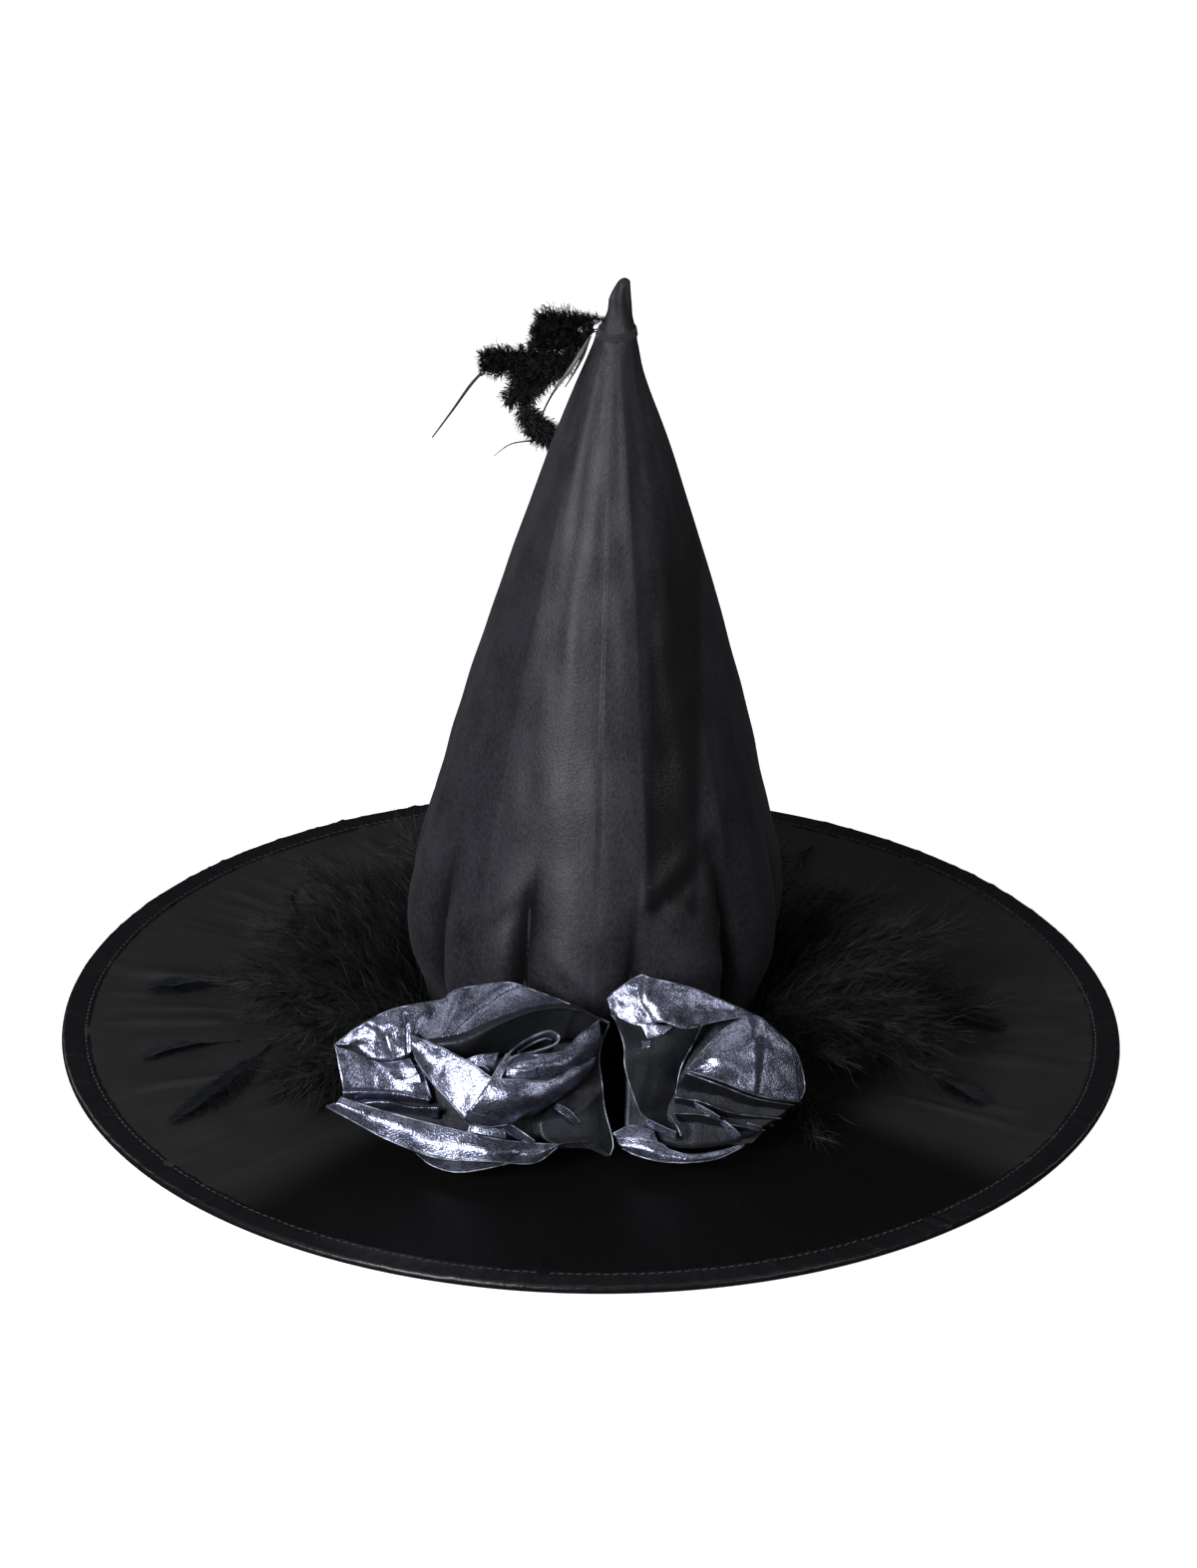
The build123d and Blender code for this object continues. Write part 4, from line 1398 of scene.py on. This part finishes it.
left_inner = [
    fold(
        [
            [(-25.7, 22.9, 9), (-17, 31, 5), (-7.8, 38.5, 2), (4, 41, 2), (17, 42.3, 2), (29, 38.5, 3),
             (40.3, 34.4, 5), (61.4, 24.9, 12)],
            [(-23, 19, 14), (-14, 25, 11), (-5, 29, 9), (6, 32, 9), (18, 35, 8), (31, 34.5, 8),
             (42, 33, 9), (60.8, 24.8, 12)],
            [(-20.2, 16.5, 18), (-12, 18, 18), (-4.6, 19.5, 18), (3, 22.5, 17.5), (15, 28, 16),
             (28, 31.6, 15), (44.9, 32.5, 13), (60.4, 24.7, 12)],
        ],
        [(0.60, 0.03, 2.3, -0.42), (0.33, 0.05, -1.5, -0.2), (0.82, 0.06, -0.9, -0.1)],
        seed=17, steps=(30, 70),
    ),
    fold(
        [
            [(-25.7, 22.9, 9), (-26.6, 20, 13), (-27, 18.3, 20)],
            [(-23, 20, 10), (-22, 17, 14), (-20, 15, 19)],
        ],
        seed=18,
    ),
    fold(
        [
            [(-20.2, 16.5, 18), (-4.6, 19.5, 18.5), (11, 26.5, 17), (27.5, 31.8, 15), (44.9, 32.8, 13),
             (61, 25, 12)],
            [(-16, 14.5, 22), (-4, 16.5, 23), (12, 24, 21.5), (28.5, 30, 19), (45, 31, 16.5),
             (60.5, 24.5, 13.5)],
            [(-10, 11, 20), (0, 13, 20.5), (13, 21.5, 19.5), (29, 28, 17), (44, 29, 14), (57, 25, 12)],
            [(-5, 6, 9), (4, 7, 8), (16, 11, 7), (30, 15, 6), (42, 17, 6), (52, 18, 7)],
        ],
        [(0.86, 0.02, 1.4, -0.08)],
        seed=19, painted_shade=True, bead=0, steps=(34, 56),
    ),
    fold(
        [
            [(-27, 18.5, 21), (-13.7, 13.5, 25.5), (0, 6.6, 30.5), (10.1, -0.3, 34)],
            [(-26.5, 14, 22), (-15.5, 6.5, 26.5), (-5, -1.5, 30.5), (4.2, -9, 34)],
            [(-24.7, 8.2, 21), (-17.4, -1.8, 25), (-10.1, -9.2, 28.5), (-2.3, -17.9, 32)],
        ],
        seed=20, both=True, crumple=0.45, steps=(26, 44),
    ),
    fold(
        [
            [(10.1, -0.3, 34), (22.9, -0.7, 33.5), (35.7, -0.5, 30), (45.8, 4.8, 24), (55.5, 9.4, 17)],
            [(4.2, -8.4, 34.6), (18, -9.4, 35), (32, -8, 31), (44, -1, 25), (55, 7, 17)],
            [(0.6, -14, 33.4), (13, -16.4, 31), (28, -14, 27), (41.5, -7, 22), (53, 3.5, 16)],
            [(-2.3, -17.9, 32), (9, -21.4, 25), (25, -17.8, 20), (38, -10, 17), (50, -1, 13)],
        ],
        seed=21, crumple=0.4, steps=(30, 50),
    ),
    fold(
        [
            [(-2.3, -17.9, 33), (2, -20.6, 30), (9, -21.6, 26), (17, -20.6, 23)],
            [(-1, -14, 34), (4, -16, 33), (11, -17, 30), (18, -17, 27)],
        ],
        seed=22, bead=0.6,
    ),
    fold(
        [
            [(15, 8.4, 29), (24, 10, 29), (32, 10.6, 28), (41, 12.4, 26), (48.6, 19.6, 21),
             (56.8, 26, 15)],
            [(13, 4, 31), (24, 4.6, 31.5), (34, 5, 30), (43, 7, 27), (50.5, 13, 21), (57.5, 20, 15)],
            [(11, -1, 28), (24, -3, 27), (36, -2.5, 25), (45, 3, 22), (52, 8, 17), (57, 14, 12)],
        ],
        [(0.35, 0.05, 0.8, 0.1)],
        seed=23, steps=(24, 50),
    ),
    fold(
        [
            [(17, 4.5, 31.5), (24, 3.4, 32.5), (29, 4.5, 32)],
            [(16, 1, 31), (23, -0.5, 31), (30, 0.5, 30)],
        ],
        seed=24,
    ),
    fold(
        [
            [(-4.6, 6.6, 25), (3, 9.6, 26), (12.5, 10.8, 25)],
            [(-1, 3.6, 26), (5, 4.4, 27), (11, 6, 27)],
            [(2, 1.5, 22), (6, 1.5, 23), (10, 2, 24)],
        ],
        seed=25,
    ),
    fold(
        [
            [(1, 4.0, 27), (5, 5.4, 28), (8.5, 3.6, 29)],
            [(2, 1, 26), (6, 1, 27), (9, 1, 28)],
        ],
        seed=26,
    ),
]
left_heart = [
    fold(
        [
            [(13.2, 2, 31), (15.4, 8.5, 31), (20.6, 14, 30), (27.4, 18.3, 28.5), (34.8, 20.9, 27),
             (39, 18.8, 26.5), (37.4, 15.2, 28), (29.5, 12.2, 30), (20, 9.8, 31.5), (14.6, 5.6, 32)],
            [(12, -1, 22), (14, 5, 21), (19, 9, 20), (26, 12, 19), (32, 14, 18), (35, 12, 18),
             (34, 9, 19), (28, 7, 21), (20, 4, 22), (14, 1, 23)],
        ],
        seed=27, crumple=0.2, bead=1.1, steps=(16, 70),
    ),
    fold(
        [
            [(21, 11.3, 29.5), (27.4, 15.4, 28.5), (33, 17.6, 27.5), (36, 17, 27.5)],
            [(21, 9, 20), (27, 11, 19), (32, 12, 18), (35, 11, 18)],
        ],
        seed=28, painted_shade=True, crumple=0.2, bead=0.9, steps=(14, 40),
    ),
    fold(
        [
            [(9.6, -0.4, 33), (12.6, 5.2, 32), (16.2, 10.8, 30.5)],
            [(13.4, -0.6, 32.6), (15.6, 4.6, 32.2), (19, 9.4, 31)],
        ],
        seed=29, crumple=0.2, bead=0.7, both=True,
    ),
]
right_outer = [
    fold(
        [
            [(-40, 30, -1), (-10, 34, -3), (20, 22, -2), (38, 8, -1)],
            [(-36, 0, 2), (-10, 2, 2), (18, 0, 2), (41, -6, 1)],
            [(-36, -27, 6), (-12, -34, 8), (14, -31, 7), (36, -18, 3)],
        ],
        bead=0, seed=30, painted_shade=True,
    ),
    fold(
        [
            [(-44.8, 31.6, 5), (-40.8, 35.6, 6), (-30.3, 42.5, 6.5), (-25, 41.5, 8), (-6.6, 37.2, 6),
             (9.2, 31, 1), (21.1, 26, -1)],
            [(-43.5, 28, 6), (-39, 29, 7.5), (-31, 32, 9.5), (-24, 32, 11), (-7, 29.5, 7), (6, 27.4, 3),
             (20.5, 25.8, 0)],
            [(-42.8, 25, 6), (-36.9, 19.8, 9), (-27, 20.5, 11), (-19.8, 22, 13), (-9.2, 19.1, 12),
             (4, 22.4, 7), (20.6, 25.6, 1)],
        ],
        [(0.60, 0.05, 1.3, 0.0), (0.30, 0.03, -0.7, 0.1)],
        seed=31, crumple=0.7, steps=(28, 56), both=True,
    ),
    fold(
        [
            [(-36, 21.5, 9), (-27, 21, 12), (-15, 20, 13)],
            [(-33, 15.5, 11), (-26, 14.6, 13), (-19, 17, 14)],
        ],
        seed=32, crumple=0.6,
    ),
    fold(
        [
            [(-32, 13.4, 13), (-28, 13, 14), (-25, 13.5, 14)],
            [(-31.4, 10.6, 14), (-27.6, 10, 15), (-25.4, 10.6, 15)],
        ],
        seed=33,
    ),
    fold(
        [
            [(-36.5, 11.6, 14), (-33, 11.2, 14.5), (-29.4, 10, 15)],
            [(-36, 8.2, 14.5), (-33, 7.6, 15), (-30, 7.6, 15.5)],
        ],
        seed=34,
    ),
    fold(
        [
            [(-41.5, 24.5, 12), (-36.9, 11.9, 17), (-36.2, 1.3, 17.5), (-31, -14.5, 16),
             (-26.4, -21, 13), (-13.2, -30.3, 11)],
            [(-28, 20, 12), (-22, 11, 12), (-22, 0, 11), (-21, -12, 9), (-19, -20, 7), (-12.5, -29, 9)],
            [(-2, 21, 11), (-6, 12, 5), (-11, 2, 4), (-13, -8, 3), (-15, -19, 4), (-11.2, -27.7, 9)],
        ],
        [(0.5, 0.09, 0.6, 0.1)],
        seed=35, painted_shade=True, crumple=0.3, steps=(26, 50), both=True,
    ),
    fold(
        [
            [(-27, -20.6, 14), (-20, -24, 15), (-13, -27, 15)],
            [(-26, -24, 12), (-20, -27.4, 13), (-13.4, -31, 13)],
        ],
        seed=36,
    ),
    fold(
        [
            [(-41.3, -28, 9), (-33, -24.3, 10), (-23, -26.3, 11)],
            [(-39, -30.4, 11), (-31, -29.6, 13), (-21, -31.4, 13)],
        ],
        seed=37,
    ),
    fold(
        [
            [(-39.8, -30.1, 11), (-29, -30.1, 14), (-19.8, -32.1, 15), (-15.8, -34.7, 15.5),
             (-7.2, -36.6, 16), (5.3, -35.3, 15), (17.1, -32, 11)],
            [(-38.6, -33, 12), (-29, -34.4, 15), (-20, -36.2, 16.5), (-14, -37.6, 17),
             (-7, -38.6, 17.4), (5.3, -37, 16), (17.3, -32.4, 11)],
            [(-37, -34.6, 10.5), (-31, -37.4, 13), (-21.1, -39.9, 15), (-14, -40.4, 16),
             (-6.6, -40.3, 16.5), (5.3, -38.5, 15), (17.5, -32.8, 11)],
        ],
        seed=38, crumple=0.3, both=True, steps=(22, 56),
    ),
]
right_inner = [
    fold(
        [
            [(29, 18.5, 3), (36, 14.6, 2), (40.5, 9, 1.5), (43.4, 1, 1.5), (44.4, -7, 2), (42, -13, 4)],
            [(28, 14, 6), (33, 9, 6), (36.5, 4, 5.5), (38.5, -1, 5.5), (40, -7, 6), (39, -12, 7)],
        ],
        seed=39, crumple=0.5,
    ),
    fold(
        [
            [(-8.6, 1, 18), (-2, 9.2, 17), (8.6, 19.8, 14), (20.4, 25.4, 11), (29, 20.4, 8),
             (38, 12, 5)],
            [(-6.4, 0.2, 20), (3, 5, 21), (12, 10, 20), (21, 12, 18), (31, 8, 12), (40.5, 2, 6.5)],
            [(-8.4, 0.6, 18.5), (6.6, -4, 20), (13, -6.5, 20), (19.8, -9.2, 19), (30, -11.7, 14),
             (42.6, -13, 6.5)],
        ],
        [(0.55, 0.05, 1.0, 0.1), (0.72, 0.04, -1.2, -0.05)],
        seed=40, crumple=0.5, steps=(30, 56), both=True,
    ),
    fold(
        [
            [(-9, -0.5, 15), (8, -6.5, 17), (22, -11.6, 15), (40, -14.6, 7)],
            [(-12, -6, 5), (6, -10.5, 5), (21, -14.5, 5), (36, -17.5, 2)],
            [(-13, -11, 3), (4, -13, 3), (19, -17, 2), (36, -19.5, 0)],
        ],
        seed=41, painted_shade=True, crumple=0.5, steps=(24, 50),
    ),
    fold(
        [
            [(-14, -11.5, 11), (-2, -13.4, 12), (12, -18.2, 11), (34, -20.6, 5)],
            [(-14, -15, 4), (-2, -17.5, 4), (11, -21.5, 4), (31, -22.6, 2)],
            [(-14, -18, 2), (0, -19.6, 2), (13, -23, 2), (31, -24.5, 1)],
        ],
        seed=42, painted_shade=True, crumple=0.5, steps=(22, 50),
    ),
    fold(
        [
            [(-14.4, -18.6, 10), (0, -19.4, 11), (12, -23.4, 10), (27, -26, 5)],
            [(-13, -24, 5), (1, -25, 5), (13, -28, 5), (24, -29, 3)],
            [(-12, -29, 4), (2, -31, 4), (12, -32.6, 5), (21, -31.6, 4)],
        ],
        seed=43, painted_shade=True, crumple=0.6, steps=(22, 46),
    ),
    fold(
        [
            [(-16.2, -19, 13), (-12.4, -25, 14.5), (-11, -28.6, 14.5)],
            [(-14, -19, 12), (-10.6, -25, 13), (-9.6, -29, 13)],
        ],
        seed=44,
    ),
]
right_heart = [
    fold(
        [
            [(-5.2, -13.6, 14.5), (0.6, -16.6, 15.5), (6.2, -20, 15)],
            [(-4.6, -16, 14), (0.4, -19, 15), (5.6, -22, 14)],
        ],
        seed=45, bead=0.9,
    ),
    fold(
        [
            [(8, -21.4, 14), (12, -24.6, 14.5), (15.4, -28, 13.5)],
            [(6.4, -23, 12), (10, -27, 12.5), (13, -29.6, 12)],
        ],
        seed=46, bead=0.9,
    ),
    fold(
        [
            [(18.6, -22.6, 12), (22, -23.4, 12), (25, -24.2, 11)],
            [(18, -24.6, 10), (22, -26, 10), (25, -26.4, 9)],
        ],
        seed=47, bead=0.9,
    ),
]
roses = {
    "left": (np.array([-53.2, -128.0, 39.5]) * mm, left_outer, left_inner, left_heart),
    "right": (np.array([51.6, -122.0, 40.4]) * mm, right_outer, right_inner, right_heart),
}
rose_rounds = (("outer_folds", "outer_petals"), ("inner_folds", "inner_petals"), ("heart_roll", "heart"))
for side, (middle, *rounds) in roses.items():
    for (label, node), folds in zip(rose_rounds, rounds):
        satin_part = ribbon_piece(f"rose_{side}_{label}", folds, middle)
        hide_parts(f"rose_{side}_{node}")
        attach(satin_part, "hat")
    use(f"rose_{side}_backing", felt)
    use(f"rose_{side}_tack_thread", thread)

# ---------------------------------------------------------------- sprig at the tip
# Thread wound round the neck and knotted on the wearer's right, with two stripped plumes
# hanging from the knot, each free to sway on it.
tie_low, tie_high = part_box("tip_tie_thread")
tie_turns, tie_count, points_a_turn = [], 6, 48
for i in range(tie_count * points_a_turn + 1):
    at = 2 * pi * i / points_a_turn
    z = tie_high[2] - 0.6 * mm - (tie_high[2] - tie_low[2] - 1.2 * mm) * i / (tie_count * points_a_turn)
    middle, half_x, half_y = cone_at(z)
    tie_turns.append((middle + (half_x + 0.35 * mm) * sin(at), -(half_y + 0.35 * mm) * cos(at), z))
turn_points, turn_faces = tube(tie_turns, [0.62 * mm] * len(tie_turns))
winding = piece("tip_tie_winding", turn_points, turn_faces, thread)
knot = Vector((tie_low[0] + 1.3 * mm, 0, (tie_low[2] + tie_high[2]) / 2))
loops = []
for i in range(3):
    ring = np.linspace(0, 2 * pi, 25)
    turn = Euler((0.9 * i, 0.5 + 1.1 * i, 0.4 * i)).to_matrix()
    flat_loop = [Vector((1.0 * mm * cos(a), 1.0 * mm * sin(a), 0.25 * mm * sin(2 * a))) for a in ring]
    loops.append([knot + turn @ spot for spot in flat_loop])
knot_parts = []
for i, loop in enumerate(loops):
    loop_points, loop_faces = tube(np.array([tuple(p) for p in loop]), [0.95 * mm] * len(loop))
    knot_parts.append(piece(f"knot_loop_{i}", loop_points, loop_faces, thread))
middle, half_x, half_y = cone_at(knot.z)
for side in (-1, 1):
    leaves = (middle - half_x + 1.5 * mm, side * 3.0 * mm, knot.z)
    meets = (knot.x + 1.2 * mm, side * 1.2 * mm, knot.z)
    lead = spline_path([leaves, meets, tuple(knot)], 12)
    lead_points, lead_faces = tube(lead, [0.8 * mm] * len(lead))
    knot_parts.append(piece(f"knot_lead_{side}", lead_points, lead_faces, thread))
tie = joined("tip_tie_wrap", [winding] + knot_parts)
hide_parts("tip_tie_thread")
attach(tie, "hat")

grey_quill = finish(
    "stripped_quill",
    lambda start, where, uv: start.noise(where, 4 * mm, 3).mix((0.03, 0.03, 0.03), (0.30, 0.30, 0.295)),
    0.42,
    None,
)


def sprig_point(across, back, low):
    """A point of the sprig, in millimetres from the knot."""
    return (knot.x + across * mm, knot.y + back * mm, knot.z - low * mm)


def tufts(name, paths, lengths, seed, barbs):
    """A downy tuft round a few short lines, for the sprig."""
    lines = [spline_path([sprig_point(*p) for p in path], 14) for path in paths]
    reaches = []
    for line, (start_length, end_length) in zip(lines, lengths):
        t = np.linspace(0, 1, len(line))
        body = start_length + (end_length - start_length) * t
        reaches.append(body * mm * (0.55 + 0.45 * np.sin(pi * t) ** 0.5))
    total = sum(np.linalg.norm(np.diff(p, axis=0), axis=1).sum() for p in lines)
    settings = {
        "Spacing": total / barbs,
        "Width": 0.105,
        "Curl": 0.25,
        "Lean Low": -0.35,
        "Lean High": 0.6,
        "Roll": pi,
        "Sides": 0,
        "Shortest": 0.35,
        "Longest": 1.25,
        "Tousle": 4.5 * mm,
        "Tousle Size": 4 * mm,
        "Seed": seed,
        "Material": down,
    }
    return grow(name, path_object(lines, reaches), barb_tree, settings)


def quill(name, path, widths, material, count=28):
    """A bare quill as its own rod along a smooth line."""
    line = spline_path([sprig_point(*p) for p in path], count)
    sizes = np.interp(np.linspace(0, 1, count), np.linspace(0, 1, len(widths)), widths) * mm
    rod_points, rod_faces = tube(line, sizes)
    return piece(name, rod_points, rod_faces, material)


upper = tufts(
    "sprig_upper_down",
    [
        [(1, -1, -3), (-12, -1, -5), (-24, -1, -5)],
        [(6, -1, -5), (-1, -1, -6), (-9, -1, -6)],
        [(0, -2, 1), (-13, -2, 1), (-26, -2, 0)],
        [(-2, -2, 5), (-16, -2, 6), (-27, -2, 6)],
        [(-22, -2, 11), (-38, -2, 12), (-49, -2, 12)],
        [(-20, -2, 15), (-36, -2, 16), (-49, -2, 17)],
        [(-8, -2, 10), (-15, -2, 17), (-23, -2, 25)],
        [(-14, -2, 11), (-25, -2, 18), (-35, -2, 24)],
        [(-18, -1, 14), (-25, -1, 24), (-30, -1, 33)],
        [(-6, -2, 6), (-11, -2, 14), (-15, -2, 21)],
        [(-26, -2, 20), (-32, -2, 28), (-37, -2, 34)],
    ],
    [(6, 9), (3, 5), (6, 8), (7, 8), (7, 7), (7, 7), (6, 8), (8, 8), (7, 9), (5, 6), (7, 8)],
    51,
    15500,
)
# The tuft keeps to the outer side of the cone, and a little more so above the knot.
for v in upper.data.vertices:
    middle, half_x, half_y = cone_at(v.co.z)
    edge = middle - half_x - 0.6 * mm - 0.17 * max(knot.z - v.co.z, 0)
    if v.co.z > knot.z + 1 * mm:
        edge = middle - 6.3 * mm
    if v.co.x > edge:
        v.co.x = edge - 0.3 * (v.co.x - edge)
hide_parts("tip_plume_upper")
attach(upper, "upper_plume")
upper_quill = joined(
    "sprig_upper_quills",
    [
        quill(
            "sprig_upper_quill",
            [(-2, -1, 0.5), (-12, -2, 4), (-30, -2, 15.5)],
            [1.3, 0.9, 0.5],
            grey_quill,
        ),
        quill(
            "sprig_upper_butt",
            [(-0.5, -3, 1.5), (-5, -9, 8), (-9.5, -10, 15), (-16, -10, 24)],
            [1.2, 2.2, 2.0, 0.9],
            grey_quill,
        ),
        quill(
            "sprig_upper_spare",
            [(-0.5, -2, 2), (-3.5, -7, 9), (-7, -8, 16), (-11.5, -8, 24)],
            [1.0, 1.5, 1.2, 0.6],
            grey_quill,
        ),
    ],
)
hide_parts("tip_plume_upper_quill")
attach(upper_quill, "upper_plume")
stick = quill(
    "sprig_bare_stick",
    [(-49, -2, 20), (-54, -2, 26), (-62, -2, 38), (-71, -2, 51)],
    [1.4, 1.5, 1.1, 0.7],
    shaft_finish,
)
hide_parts("tip_plume_bare_stick")
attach(stick, "upper_plume")
lower = tufts(
    "sprig_lower_down",
    [[(-31, 20, 43), (-28, 20, 50), (-22, 20, 57)], [(-26, 20, 51), (-20, 19, 57), (-13, 19, 60)]],
    [(6, 9), (8, 8)],
    52,
    4000,
)
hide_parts("tip_plume_lower")
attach(lower, "lower_plume")
lower_quill = quill(
    "sprig_lower_quill",
    [(-1, 9.7, 4), (-4, 11, 12), (-10, 15, 24), (-18, 18, 38), (-24, 20, 52)],
    [1.6, 2.1, 1.5, 1.0, 0.7],
    grey_quill,
)
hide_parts("tip_plume_lower_quill")
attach(lower_quill, "lower_plume")
lower_barb = quill(
    "sprig_lower_barb",
    [(-25, 20, 60), (-36, 20, 62), (-44, 20, 68)],
    [0.9, 0.7, 0.35],
    shaft_finish,
)
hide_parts("tip_plume_lower_barb")
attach(lower_barb, "lower_plume")
